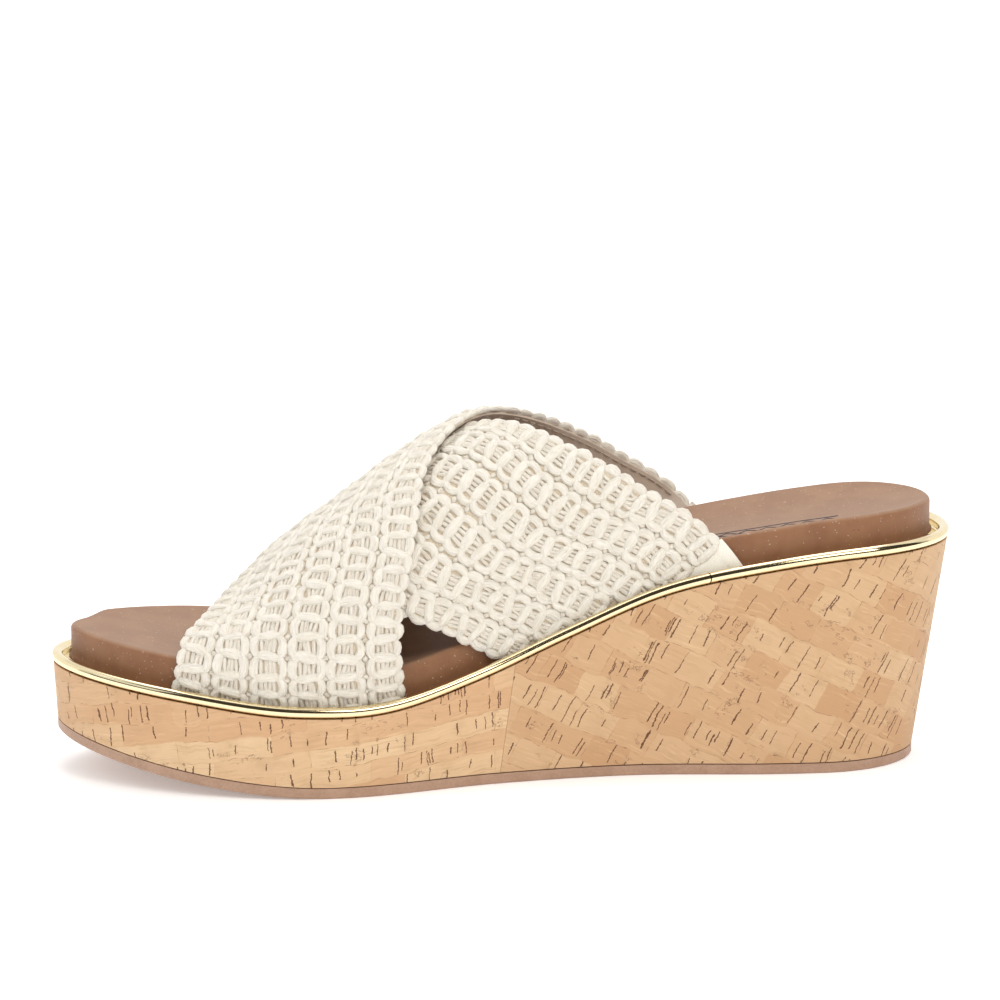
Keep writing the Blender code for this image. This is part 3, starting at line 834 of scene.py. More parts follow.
@dataclass(frozen=True)
class CorkSheet:
    """Laminated cork: slanting courses of blocks, each with its own tone, slits and knots."""

    name: str
    slant: float
    pale: Colour = (0.635, 0.425, 0.245)
    warm: Colour = (0.540, 0.312, 0.160)
    grey: Colour = (0.50, 0.31, 0.16)
    vein: Colour = (0.86, 0.64, 0.38)
    joint: Colour = (0.24, 0.11, 0.045)
    grit: Colour = (0.42, 0.22, 0.10)
    bark: Colour = (0.105, 0.034, 0.012)
    course: float = 7.5
    block: float = 13.0
    slits: tuple[Slits, ...] = (
        Slits(5.1, 0.11, 0.36, 0.20),
        Slits(7.9, 0.53, 0.34, 0.15),
        Slits(2.4, 0.83, 0.16, 0.20),
    )

    def cut(self, work: NodeWork, flat: Socket, slits: Slits) -> Socket:
        """Short dark slits across the courses.

        Args:
            work: the material's nodes.
            flat: coordinates along and across the courses, in millimetres.
            slits: how long the stretches are that may hold one slit each, which of them do,
                what share of them, and half the width of a slit.

        Returns:
            1 inside a slit, 0 outside.
        """
        split = work.node("ShaderNodeSeparateXYZ")
        work.feed(split.inputs[0], flat)
        wobble = work.times(work.minus(work.noise(flat, 0.9, 3, 0.7), 0.5), 0.9)
        way = work.calc("DIVIDE", work.plus(split.outputs[0], wobble), slits.stretch)
        row = work.calc("DIVIDE", split.outputs[1], self.course)
        row_index = work.calc("FLOOR", row)
        cell = work.plus(way, work.times(row_index, 0.37 + slits.seed))
        pick = work.node("ShaderNodeCombineXYZ")
        work.feed(pick.inputs[0], work.calc("FLOOR", cell))
        work.feed(pick.inputs[1], row_index)
        pick.inputs[2].default_value = slits.seed * 17
        chance = work.node("ShaderNodeTexWhiteNoise", noise_dimensions="3D")
        work.feed(chance.inputs["Vector"], pick.outputs[0])
        drawn = work.node("ShaderNodeSeparateColor")
        work.feed(drawn.inputs[0], chance.outputs["Color"])
        there = work.calc("LESS_THAN", chance.outputs["Value"], slits.share)
        middle = work.plus(work.times(drawn.outputs[0], 0.6), 0.2)
        off = work.calc("ABSOLUTE", work.minus(work.calc("FRACT", cell), middle))
        inside = work.calc("FRACT", row)
        begun = work.clamp(work.minus(inside, work.times(drawn.outputs[1], 0.40)), 0, 0.04)
        end = work.minus(1.02, work.times(drawn.outputs[2], 0.40))
        length = work.times(begun, work.clamp(work.minus(end, inside), 0, 0.04))
        rough = work.plus(work.times(work.noise(flat, 1.6, 3, 0.7), 2.6), -0.45)
        line = work.calc("LESS_THAN", off, work.times(rough, slits.thick / slits.stretch))
        return work.times(work.times(line, there), length)

    def courses(self, work: NodeWork) -> Socket:
        """Coordinates along and across the slanting courses, gently bent.

        Args:
            work: the material's nodes.

        Returns:
            The coordinates, in millimetres.
        """
        flat = work.turned(work.place("wall"), self.slant, (1, 1, 1))
        drift = work.node("ShaderNodeTexNoise")
        work.feed(drift.inputs["Vector"], flat)
        drift.inputs["Scale"].default_value = 0.12
        pull = work.node("ShaderNodeVectorMath", operation="MULTIPLY")
        work.feed(pull.inputs[0], drift.outputs["Color"])
        pull.inputs[1].default_value = (2.5, 3.5, 0)
        bent = work.node("ShaderNodeVectorMath", operation="ADD")
        work.feed(bent.inputs[0], flat)
        work.feed(bent.inputs[1], pull.outputs[0])
        return bent.outputs[0]

    def blocks(self, work: NodeWork, flat: Socket) -> bpy.types.Node:
        """The blocks of the courses, black to white, with thin joints between them.

        Args:
            work: the material's nodes.
            flat: coordinates along and across the courses.

        Returns:
            The node that draws them.
        """
        bricks = work.node("ShaderNodeTexBrick", offset=0.37, squash=1.0)
        work.feed(bricks.inputs["Vector"], flat)
        settings = {
            "Scale": 1.0,
            "Mortar Size": 0.16,
            "Mortar Smooth": 0.7,
            "Bias": 0.0,
            "Brick Width": self.block,
            "Row Height": self.course,
            "Color1": (0, 0, 0, 1),
            "Color2": (1, 1, 1, 1),
            "Mortar": (0.5, 0.5, 0.5, 1),
        }
        for name, value in settings.items():
            bricks.inputs[name].default_value = value
        return bricks

    def tone(self, work: NodeWork, flat: Socket, streaks: Socket) -> Socket:
        """The colour of the cork itself: blocks, clouds, streaks, joints and grit.

        Args:
            work: the material's nodes.
            flat: coordinates along and across the courses.
            streaks: the long streaks of the grain.

        Returns:
            The colour.
        """
        blocks = self.blocks(work, flat)
        cloud = work.noise(flat, 0.16, 3)
        tone = work.mix(blocks.outputs["Color"], self.pale, self.warm)
        tone = work.mix(work.times(work.clamp(cloud, 0.45, 0.80), 0.45), tone, self.grey)
        tone = work.mix(work.times(work.clamp(streaks, 0.50, 0.30), 0.55), tone, self.grey)
        tone = work.mix(work.times(work.clamp(streaks, 0.55, 0.75), 0.45), tone, self.vein)
        worn = work.clamp(work.noise(flat, 0.35, 3), 0.47, 0.62)
        seen = work.times(blocks.outputs["Fac"], work.plus(work.times(worn, 0.5), 0.05))
        tone = work.mix(seen, tone, self.joint)
        grit = work.noise(flat, 2.4, 3, 0.7)
        return work.mix(work.times(work.clamp(grit, 0.60, 0.78), 0.35), tone, self.grit)

    def marks(self, work: NodeWork, flat: Socket) -> Socket:
        """How dark the bark is at each place: outlines of knots, slits and specks.

        Args:
            work: the material's nodes.
            flat: coordinates along and across the courses.

        Returns:
            0 for bare cork to 1 for bark.
        """
        knots = work.noise(work.turned(flat, 0, (0.28, 0.40, 1)), 1.0, 4, 0.65)
        outline = work.clamp(work.calc("ABSOLUTE", work.minus(knots, 0.60)), 0.014, 0.003)
        where = work.clamp(work.noise(flat, 0.07, 1), 0.52, 0.60)
        dark = work.times(work.times(outline, where), 0.75)
        for slits in self.slits:
            dark = work.calc("MAXIMUM", dark, self.cut(work, flat, slits))
        specks = work.clamp(work.noise(flat, 1.3, 2), 0.745, 0.78)
        return work.calc("MAXIMUM", dark, work.times(specks, 0.8))

    def build(self) -> bpy.types.Material:
        """The finish as a material.

        Returns:
            The finished material.
        """
        work = NodeWork(self.name)
        flat = self.courses(work)
        streaks = work.noise(work.turned(flat, 0, (0.075, 1.25, 1)), 1.0, 5, 0.65)
        dark = self.marks(work, flat)
        relief = work.minus(work.times(streaks, 0.35), dark)
        return work.dress(
            Base_Color=work.mix(work.times(dark, 0.92), self.tone(work, flat, streaks), self.bark),
            Roughness=work.plus(work.times(streaks, 0.2), 0.48),
            Specular_IOR_Level=0.35,
            Normal=work.bump(relief, 0.45, 0.00025),
        )


@dataclass(frozen=True)
class GoldFoil:
    """Bright pale gold on moulded strip."""

    name: str = "gold_welt"
    light: Colour = (0.93, 0.80, 0.52)
    dark: Colour = (0.86, 0.71, 0.43)

    def build(self) -> bpy.types.Material:
        """The finish as a material.

        Returns:
            The finished material.
        """
        work = NodeWork(self.name)
        place = work.place()
        haze = work.noise(place, 350, 3)
        scuff = work.noise(work.turned(place, 0, (1, 1, 6)), 900, 3, 0.7)
        return work.dress(
            Base_Color=work.mix(haze, self.light, self.dark),
            Metallic=1.0,
            Roughness=work.plus(work.times(haze, 0.08), 0.07),
            Normal=work.bump(scuff, 0.06, 0.00004),
        )


@dataclass(frozen=True)
class MouldedFoam:
    """Tan moulded foam with fine pale specks, with painted shade on its walls: they are darker and redder
    than its top.
    """

    name: str = "footbed_foam"
    light: Colour = (0.330, 0.182, 0.100)
    dark: Colour = (0.280, 0.146, 0.078)
    # Painted shade: the wall colours are darker and redder than the top's, for the weaker light on the
    # sides.
    shaded_wall_light: Colour = (0.305, 0.144, 0.069)
    shaded_wall_dark: Colour = (0.255, 0.114, 0.053)
    speck: Colour = (0.72, 0.60, 0.48)
    mote: Colour = (0.16, 0.08, 0.05)

    def build(self) -> bpy.types.Material:
        """The finish as a material.

        Returns:
            The finished material.
        """
        work = NodeWork(self.name)
        place = work.place()
        cloud = work.noise(place, 120, 4, 0.6)
        pores = work.noise(place, 2600, 2, 0.6)
        facing = work.node("ShaderNodeSeparateXYZ")
        work.feed(facing.inputs[0], work.node("ShaderNodeNewGeometry").outputs["Normal"])
        # Painted shade: faces that stand upright, by their normal, take the darker wall colours.
        wall_shade_share = work.clamp(facing.outputs[2], 0.85, 0.35)
        clouded = work.clamp(cloud, 0.3, 0.7)
        flat = work.mix(clouded, self.dark, self.light)
        tone = work.mix(wall_shade_share, flat, work.mix(clouded, self.shaded_wall_dark, self.shaded_wall_light))
        specks = work.clamp(work.noise(place, 1300, 1), 0.70, 0.76)
        tone = work.mix(work.times(specks, 0.5), tone, self.speck)
        motes = work.clamp(work.noise(place, 620, 1), 0.245, 0.215)
        tone = work.mix(work.times(motes, 0.6), tone, self.mote)
        height = work.plus(pores, work.times(cloud, 2.0))
        return work.dress(
            Base_Color=tone,
            Roughness=work.plus(work.times(cloud, 0.15), 0.44),
            Specular_IOR_Level=0.35,
            Sheen_Weight=0.06,
            Normal=work.bump(height, 0.22, 0.00012),
        )


@dataclass(frozen=True)
class Plain:
    """A finish of two close tones with a fine relief, for rubber, board, felt, steel and ink."""

    name: str
    light: Colour
    dark: Colour
    roughness: float
    scale: float
    stretch: Point = (1, 1, 1)
    relief: float = 0.3
    metallic: float = 0.0

    def build(self) -> bpy.types.Material:
        """The finish as a material.

        Returns:
            The finished material.
        """
        work = NodeWork(self.name)
        place = work.turned(work.place(), 0, self.stretch)
        fine = work.noise(place, self.scale, 4, 0.65)
        broad = work.noise(place, self.scale / 9, 2)
        share = work.plus(work.times(fine, 0.6), work.times(broad, 0.5))
        return work.dress(
            Base_Color=work.mix(work.clamp(share, 0.35, 0.75), self.dark, self.light),
            Metallic=self.metallic,
            Roughness=work.plus(work.times(fine, 0.15), self.roughness),
            Normal=work.bump(fine, self.relief, 0.0001),
        )


def lay(piece: bpy.types.Object, slot: str, *nodes: str) -> bpy.types.Object:
    """Puts a piece on the shoe: it rides on the one body and stands for nodes, which are hidden.

    Args:
        piece: the piece.
        slot: the name of its slot; not used.
        *nodes: the solids that it stands for.

    Returns:
        The same piece.
    """
    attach(piece, "root")
    if nodes:
        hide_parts(*nodes)
    LOG.info("%s: %d faces", piece.name, len(piece.data.polygons))
    return piece


# ---------------------------------------------------------------------------------------------
# Bands
# ---------------------------------------------------------------------------------------------


class Layer(Enum):
    """Which of the two crossed bands a band is."""

    OVER = "over_strap"
    UNDER = "under_strap"


@dataclass
class Band:
    """The course of one band over the instep: its two edges and the height that it rides at."""

    layer: Layer
    last: Last
    form: Instep
    front: Knots
    back: Knots
    tab_far: bool
    lift: float = 0.0038
    columns: int = 6
    row_pitch: float = 0.00495
    yarn_height: float = 0.0022
    tab_start: float = 0.70
    tab_reach: float = 0.075
    end_share: float = 0.004
    lines: int = 13
    steps: int = 900

    def __post_init__(self) -> None:
        """Works out where the rows of stitches lie, each row square to the columns."""
        self.samples = np.linspace(0, 1, 101)
        shares = np.linspace(0, 1, self.lines)
        points = np.stack([self.point(self.samples, share, self.yarn_height)[0] for share in shares])
        ahead = np.gradient(points, axis=1)
        ahead /= np.linalg.norm(ahead, axis=2)[..., None]
        index = np.arange(points.shape[0] * points.shape[1]).reshape(points.shape[:2])
        square = np.eye(index.size) * 1e-9
        right = np.zeros(index.size)
        for axis, pull in ((1, 1.0), (0, 2.0)):
            first, second = (index[:, :-1], index[:, 1:]) if axis else (index[:-1], index[1:])
            step = np.diff(points, axis=axis)
            heading = ahead[:, :-1] + ahead[:, 1:] if axis else ahead[:-1] + ahead[1:]
            run = (step * heading / 2).sum(2).ravel()
            weight = pull / (step**2).sum(2).ravel()
            first, second = first.ravel(), second.ravel()
            np.add.at(square, (first, first), weight)
            np.add.at(square, (second, second), weight)
            np.add.at(square, (first, second), -weight)
            np.add.at(square, (second, first), -weight)
            np.add.at(right, second, weight * run)
            np.add.at(right, first, -weight * run)
        phase = np.linalg.solve(square, right).reshape(points.shape[:2])
        self.phase = phase - phase[self.lines // 2, 0]
        self.ways = np.linspace(self.phase.min(), self.phase.max(), self.steps)
        self.turns = np.stack([self.line_turns(line) for line in range(self.lines)])

    def place(self, turn: np.ndarray, across: np.ndarray) -> np.ndarray:
        """The place along the shoe at a turn and a share of the width.

        Args:
            turn: share of the way over the form.
            across: share of the band's width, from its front edge.

        Returns:
            Places along the shoe.
        """
        front = self.last.half * through(*self.front, turn)
        back = self.last.half * through(*self.back, turn)
        return front + (back - front) * across

    def point(self, turn: np.ndarray, across: np.ndarray, offset: np.ndarray) -> Arrays:
        """The point at a turn and share of the width, offset from the form, and its normal.

        Args:
            turn: share of the way over the form.
            across: share of the band's width.
            offset: height over the form.

        Returns:
            The points, and the outward direction at each.
        """
        x = self.place(turn, across)
        extra = np.zeros(np.shape(x))
        if self.layer is Layer.OVER:
            base, _ = self.form.at(x, turn, extra)
            extra = self.lift * smooth(0.002, 0.016, base[..., 2] - self.last.welt_z(base[..., 0]))
        return self.form.at(x, turn, extra + offset)

    def tab_turn(self, across: np.ndarray) -> np.ndarray:
        """How far up the end tab reaches from the end of the band."""
        return self.tab_reach * np.clip((across - self.tab_start) / (1 - self.tab_start), 0, None)

    def turn_of(self, phase: np.ndarray, across: np.ndarray) -> np.ndarray:
        """The turn at a way along the rows, in metres, and a share of the width.

        Args:
            phase: way along the rows from the middle of the band's inner end.
            across: share of the band's width.

        Returns:
            The turn at each place.
        """
        step = self.ways[1] - self.ways[0]
        a = np.clip(across, 0, 1) * (self.lines - 1)
        b = np.clip((phase - self.ways[0]) / step, 0, self.steps - 1.001)
        i = np.clip(a.astype(int), 0, self.lines - 2)
        j = b.astype(int)
        a, b = a - i, b - j
        low = (1 - b) * self.turns[i, j] + b * self.turns[i, j + 1]
        high = (1 - b) * self.turns[i + 1, j] + b * self.turns[i + 1, j + 1]
        return (1 - a) * low + a * high

    def line_turns(self, line: int) -> np.ndarray:
        """The turn along one line at each way, running straight on past its ends.

        Args:
            line: number of the line, counted from the front edge.

        Returns:
            The turn at each of the band's ways.
        """
        phase = np.maximum.accumulate(self.phase[line] + 1e-9 * np.arange(len(self.samples)))
        turn = np.interp(self.ways, phase, self.samples)
        before, after = self.ways < phase[0], self.ways > phase[-1]
        speed = phase[-1] - phase[0]
        turn[before] = (self.ways[before] - phase[0]) / speed
        turn[after] = 1 + (self.ways[after] - phase[-1]) / speed
        return turn

    def limits(self, across: np.ndarray) -> Arrays:
        """The lowest and the highest turn of the crochet at a share of the width.

        Args:
            across: share of the band's width.

        Returns:
            The lowest and the highest turn.
        """
        reach = self.tab_turn(across)
        if self.tab_far:
            return np.zeros(np.shape(across)), 1 - reach
        return reach, np.ones(np.shape(across))

    def yarn(self, column: np.ndarray, row: np.ndarray, height: np.ndarray) -> Arrays:
        """Points and normals at places counted in columns and rows, at a height over the form.

        Args:
            column: place across the band, in columns.
            row: place along it, in rows.
            height: height over the form.

        Returns:
            The points, and the outward direction at each.
        """
        across = np.clip(column / self.columns, 0, 1)
        turn = self.turn_of(row * self.row_pitch, across)
        low, high = self.limits(across)
        return self.point(np.clip(turn, low, high), across, height)

    def cells(self) -> np.ndarray:
        """Every cell of the crochet as a pair of column and row.

        Returns:
            Column and row of each cell, (cells, 2).
        """
        found = []
        rows = np.arange(-12, 60)
        for column in range(self.columns):
            across = np.full(len(rows), (column + 0.5) / self.columns)
            turn = self.turn_of((rows + 0.5) * self.row_pitch, across)
            low, high = self.limits(across)
            inside = (turn > low + self.end_share) & (turn < high - self.end_share)
            found += [(column, row) for row in rows[inside]]
        return np.array(found, float)


@dataclass
class Crochet:
    """The yarn of one band: crossbars, side loops, short threads between, and beads."""

    band: Band
    seed: int
    middle: float = 0.0024
    bar_half: float = 0.37
    loop_foot: float = 0.195
    loop_bulge: float = 0.190
    edge_drop: float = 0.0006
    thread_places: tuple[float, ...] = (-0.165, -0.055, 0.055, 0.165)
    ground_height: float = 0.0019
    ground_thickness: float = 0.0004
    ground_inset: float = 0.028
    column_width: float = 0.011
    fibre_count: int = 1800
    # Painted shade: the inner threads and beads lie deeper in the crochet, so their colours are a darker
    # tan than the roving's.
    deep_shade_light: Colour = (0.92, 0.855, 0.75)
    deep_shade_dark: Colour = (0.80, 0.70, 0.56)

    def __post_init__(self) -> None:
        """Sets the band's cells and its own source of small differences."""
        self.rng = np.random.default_rng(self.seed)
        self.grid = self.band.cells()

    def strands(
        self, column: np.ndarray, row: np.ndarray, height: np.ndarray, wide: Width, deep: Width, sides: int
    ) -> Shape:
        """Strands along places counted in columns and rows.

        Args:
            column: places across the band, (strands, points).
            row: places along it.
            height: heights over the form.
            wide: half width of the strand.
            deep: half its height.
            sides: corners of its section.

        Returns:
            The strands.
        """
        points, normals = self.band.yarn(column, row, height)
        return tubes(points, normals, wide, deep, sides, self.rng)

    def crossbars(self) -> Shape:
        """One thick lens-shaped bar across the foot of every cell, each tilted the other way.

        Returns:
            The bars.
        """
        count = len(self.grid)
        u = np.linspace(-1, 1, 11)
        tilt = np.where(self.grid[:, 1] % 2 == 0, 1, -1) * 0.10 + self.rng.normal(0, 0.04, count)
        column = self.grid[:, :1] + 0.5 + self.bar_half * u + self.rng.normal(0, 0.012, (count, 1))
        row = self.grid[:, 1:] + 0.8 * tilt[:, None] * np.sin(0.5 * math.pi * u)
        row = row + self.rng.normal(0, 0.025, (count, 1)) + 0.05 * (1 - u**2)
        dome = 1 - np.abs(u) ** 2.4
        height = self.middle + 0.00018 * dome - 0.00050 * u**4 + self.rng.normal(0, 0.00005, (count, 1))
        wide = (0.00055 + 0.00098 * dome) * self.rng.uniform(0.90, 1.10, (count, 1))
        deep = 0.00042 + 0.00058 * dome
        return self.strands(column, row, height, wide, deep, 12)

    def side_loops(self) -> Shape:
        """Two fat curved strands at the sides of every cell, from one bar to the next.

        Returns:
            The loops.
        """
        shapes = []
        count = len(self.grid)
        angle = np.linspace(-0.54 * math.pi, 0.54 * math.pi, 9)
        full = np.clip(np.cos(angle), 0, 1) ** 0.7
        for side in (-1, 1):
            bulge = self.rng.normal(self.loop_bulge, 0.012, (count, 1))
            column = self.grid[:, :1] + 0.5 + side * (self.loop_foot + bulge * np.cos(angle))
            row = self.grid[:, 1:] + 0.5 + 0.53 * np.sin(angle) + self.rng.normal(0, 0.025, (count, 1))
            edge = self.grid[:, :1] == (0 if side < 0 else self.band.columns - 1)
            height = self.middle - 0.00030 + 0.00034 * np.cos(angle) - self.edge_drop * edge
            wide = (0.00052 + 0.00088 * full) * self.rng.uniform(0.90, 1.10, (count, 1))
            deep = 0.00055 + 0.00040 * full
            shapes.append(self.strands(column, row, height, wide, deep, 10))
        return Shape.joined(shapes)

    def threads(self) -> Shape:
        """Short threads side by side along the band in every cell.

        Returns:
            The threads.
        """
        shapes = []
        count = len(self.grid)
        way = np.linspace(0.02, 0.98, 5)
        height = self.middle - 0.00040 + 0.00030 * np.sin(math.pi * way)
        for place in self.thread_places:
            lean = self.rng.normal(0, 0.030, (count, 1)) * (way - 0.5) * 2
            column = self.grid[:, :1] + 0.5 + place + lean + self.rng.normal(0, 0.010, (count, 1))
            row = self.grid[:, 1:] + way
            wide = self.rng.uniform(0.00056, 0.00070, (count, 1))
            shapes.append(self.strands(column, row, height, wide, wide, 7))
        return Shape.joined(shapes)

    def beads(self) -> Shape:
        """A small knot between every two cells of neighbouring columns, with its two legs.

        Returns:
            The knots and their legs.
        """
        inner = self.grid[self.grid[:, 0] > 0]
        count = len(inner)
        u = np.linspace(-1, 1, 7)
        ball = np.sqrt(np.clip(1.04 - u**2, 0, None))
        tilt = self.rng.normal(0, 0.8, (count, 1))
        column = inner[:, :1] + 0.085 * u + self.rng.normal(0, 0.010, (count, 1))
        row = inner[:, 1:] + 0.10 * tilt * u + self.rng.normal(0, 0.03, (count, 1))
        height = self.middle - 0.00030
        shapes = [self.strands(column, row, height, 0.00080 * ball, 0.00062 * ball, 8)]
        for place, lean in ((0.30, 0.12), (0.66, -0.12)):
            column = inner[:, :1] + 0.17 * u
            row = inner[:, 1:] + place + lean * u
            shapes.append(self.strands(column, row, self.middle - 0.00075, 0.00050, 0.00045, 6))
        return Shape.joined(shapes)

    def ground(self) -> np.ndarray:
        """The middle of the foundation cloth, which carries painted shade, as a grid of points.

        Returns:
            Points across and along the band.
        """
        band = self.band
        rows = []
        for across in np.linspace(self.ground_inset, 1 - self.ground_inset, 37):
            low, high = band.limits(across)
            turn = low + (high - low) * np.linspace(0.008, 0.992, 150)
            rows.append(band.point(turn, across, self.ground_height)[0])
        return np.array(rows)

    def fibres(self) -> Shape:
        """Stray fibres that stand out of the yarn.

        Returns:
            The fibres.
        """
        count = self.fibre_count
        pick = self.rng.integers(0, len(self.grid), count)
        way = np.linspace(0, 1, 5)
        base_column = self.grid[pick, 0] + self.rng.uniform(0.0, 1.0, count)
        base_row = self.grid[pick, 1] + self.rng.uniform(-0.5, 0.5, count)
        heading = self.rng.uniform(0, 2 * math.pi, count)
        curl = self.rng.normal(0, 1.0, count)
        length = self.rng.uniform(0.0006, 0.0017, count)
        lean = heading[:, None] + curl[:, None] * way
        run = length[:, None] * way
        column = base_column[:, None] + run * np.cos(lean) / self.column_width
        row = base_row[:, None] + run * np.sin(lean) / self.band.row_pitch
        rise = self.rng.uniform(0.2, 0.9, count)[:, None] * run * (1 - 0.45 * way)
        thin = 0.000028 * (1 - 0.5 * way)
        return self.strands(column, row, self.middle + 0.0007 + rise, thin, thin, 3)

    def make(self) -> None:
        """Builds the band's foundation, a sheet of painted shade under the holes, and its yarn and puts
        them on the shoe.
        """
        name = self.band.layer.value
        thick = CottonYarn(f"{name}_roving").build()
        # Painted shade: the deeper threads and beads take the darker tan colours.
        fine = CottonYarn(f"{name}_thread", self.deep_shade_light, self.deep_shade_dark).build()
        # Painted shade: the foundation sheet's tan stands for the shade in the holes between the strands.
        deep = HoleShadeCloth(f"{name}_foundation").build()
        rows = self.ground()
        sheet = cloth(rows, self.ground_thickness)
        lay(sheet.build(f"{name}_ground", deep, 50), "cotton_crochet")
        for key, shape, finish, *nodes in (
            ("crossbars", self.crossbars(), thick, f"{name}_crochet"),
            ("side_loops", self.side_loops(), thick),
            ("inner_threads", self.threads(), fine),
            ("beads", self.beads(), fine),
            ("stray_fibres", self.fibres(), thick),
        ):
            lay(shape.build(f"{name}_{key}", finish), "cotton_crochet", *nodes)


@dataclass
class Lining:
    """The microfibre lining of one band, turned in under the footbed at both ends."""

    band: Band
    thickness: float = 0.0007
    reach: float = 0.0070
    bend: float = 0.0009
    sunk: float = 0.00005
    edge: float = 0.03

    def margin(self, foot: np.ndarray, outward: np.ndarray) -> np.ndarray:
        """The turned-in end of the lining, from its tip to the foot of the band.

        Args:
            foot: the foot of the band.
            outward: the outward direction there.

        Returns:
            Points from the tip to the foot.
        """
        flat = np.array([outward[0], outward[1], 0.0])
        flat /= np.linalg.norm(flat)
        points = [foot - flat * reach for reach in np.linspace(self.reach, 0.3 * self.reach, 4)]
        for angle in np.radians(np.linspace(90, 0, 6)):
            in_by = self.bend * (1 - math.cos(angle))
            points.append(foot - flat * in_by + np.array([0, 0, self.bend * (1 - math.sin(angle))]))
        points = np.array(points)
        rise = points[:, 2] - foot[2]
        points[:, 2] = self.band.last.welt_z(points[:, 0]) - self.sunk + rise
        return points

    def rows(self) -> np.ndarray:
        """The middle of the lining as a grid of points.

        Returns:
            Points across and along the band, with both turned-in ends.
        """
        offset = self.band.last.gap + self.thickness / 2
        turns = np.interp(np.linspace(0, 1, 121), [0, 0.27, 0.73, 1], [0, 0.18, 0.82, 1])
        rows = []
        for across in np.linspace(self.edge, 1 - self.edge, 31):
            line, outward = self.band.point(turns, across, offset)
            start, end = (self.margin(line[foot], outward[foot]) for foot in (0, -1))
            rows.append(np.concatenate([start, line[1:-1], end[::-1]]))
        return np.array(rows)

    def make(self) -> None:
        """Builds the lining and puts it on the shoe."""
        name = f"{self.band.layer.value}_lining"
        rows = self.rows()
        shape = cloth(rows, self.thickness)
        piece = lay(shape.build(f"{name}_cloth", Microfibre().build(), 50), "lining_microfibre", name)


@dataclass
class EndTab:
    """The smooth tape that binds the back corner of a band, with its folded edge."""

    band: Band
    thickness: float = 0.0008
    fold: float = 0.80
    start: float = 0.74
    end: float = 1.004
    shortest: float = 0.012
    overlap: float = 0.004

    def make(self) -> None:
        """Builds the tab and puts it on the shoe."""
        band = self.band
        middle = 2 * band.last.gap + 0.0007 + self.thickness / 2
        rows = []
        for across in np.linspace(self.start, self.end, 31):
            reach = max(float(band.tab_turn(across)) + self.overlap, self.shortest)
            turn = np.linspace(0, reach, 22)
            turn = 1 - turn if band.tab_far else turn
            share = (across - self.start) / (self.end - self.start)
            ridge = 0.00030 * smooth(self.fold, self.fold + 0.03, share) * (1 - smooth(0.96, 1.0, share))
            crown = 0.00045 * math.sin(math.pi * min(1.0, share / self.fold))
            rows.append(band.point(turn, across, middle + ridge + crown)[0])
        shape = cloth(np.array(rows), self.thickness)
        name = f"{band.layer.value}_end_tab"
        lay(shape.build(f"{name}_tape", Webbing().build(), 50), "cotton_webbing", name)


@dataclass
class StitchRow:
    """One row of stitches along an edge of a lining."""

    band: Band
    edge: str
    across: float
    start: float
    end: float
    pitch: float = 0.0031
    length: float = 0.0024
    radius: float = 0.00024

    def make(self) -> None:
        """Builds the stitches and puts them on the shoe."""
        band = self.band
        rng = np.random.default_rng(7)
        turn = np.linspace(self.start, self.end, 400)
        line, outward = band.point(turn, np.full(400, self.across), -self.radius * 0.6)
        way = along(line)
        first = np.arange(0, way[-1] - self.length, self.pitch)
        share = np.linspace(0, 1, 7)
        at = first[:, None] + share * self.length
        paths = np.stack([np.interp(at, way, line[:, i]) for i in range(3)], -1)
        normals = np.stack([np.interp(at, way, outward[:, i]) for i in range(3)], -1)
        dip = (np.abs(2 * share - 1) ** 3) * 0.0002
        paths = paths + normals * dip[None, :, None]
        ball = self.radius * (1 - 0.6 * np.abs(2 * share - 1) ** 4)
        name = f"{band.layer.value}_{self.edge}_stitches"
        shape = tubes(paths, normals, ball, ball, 7, rng)
        lay(shape.build(f"{name}_thread", Thread().build()), "stitch_thread", name)


# ---------------------------------------------------------------------------------------------
# Bottom
# ---------------------------------------------------------------------------------------------


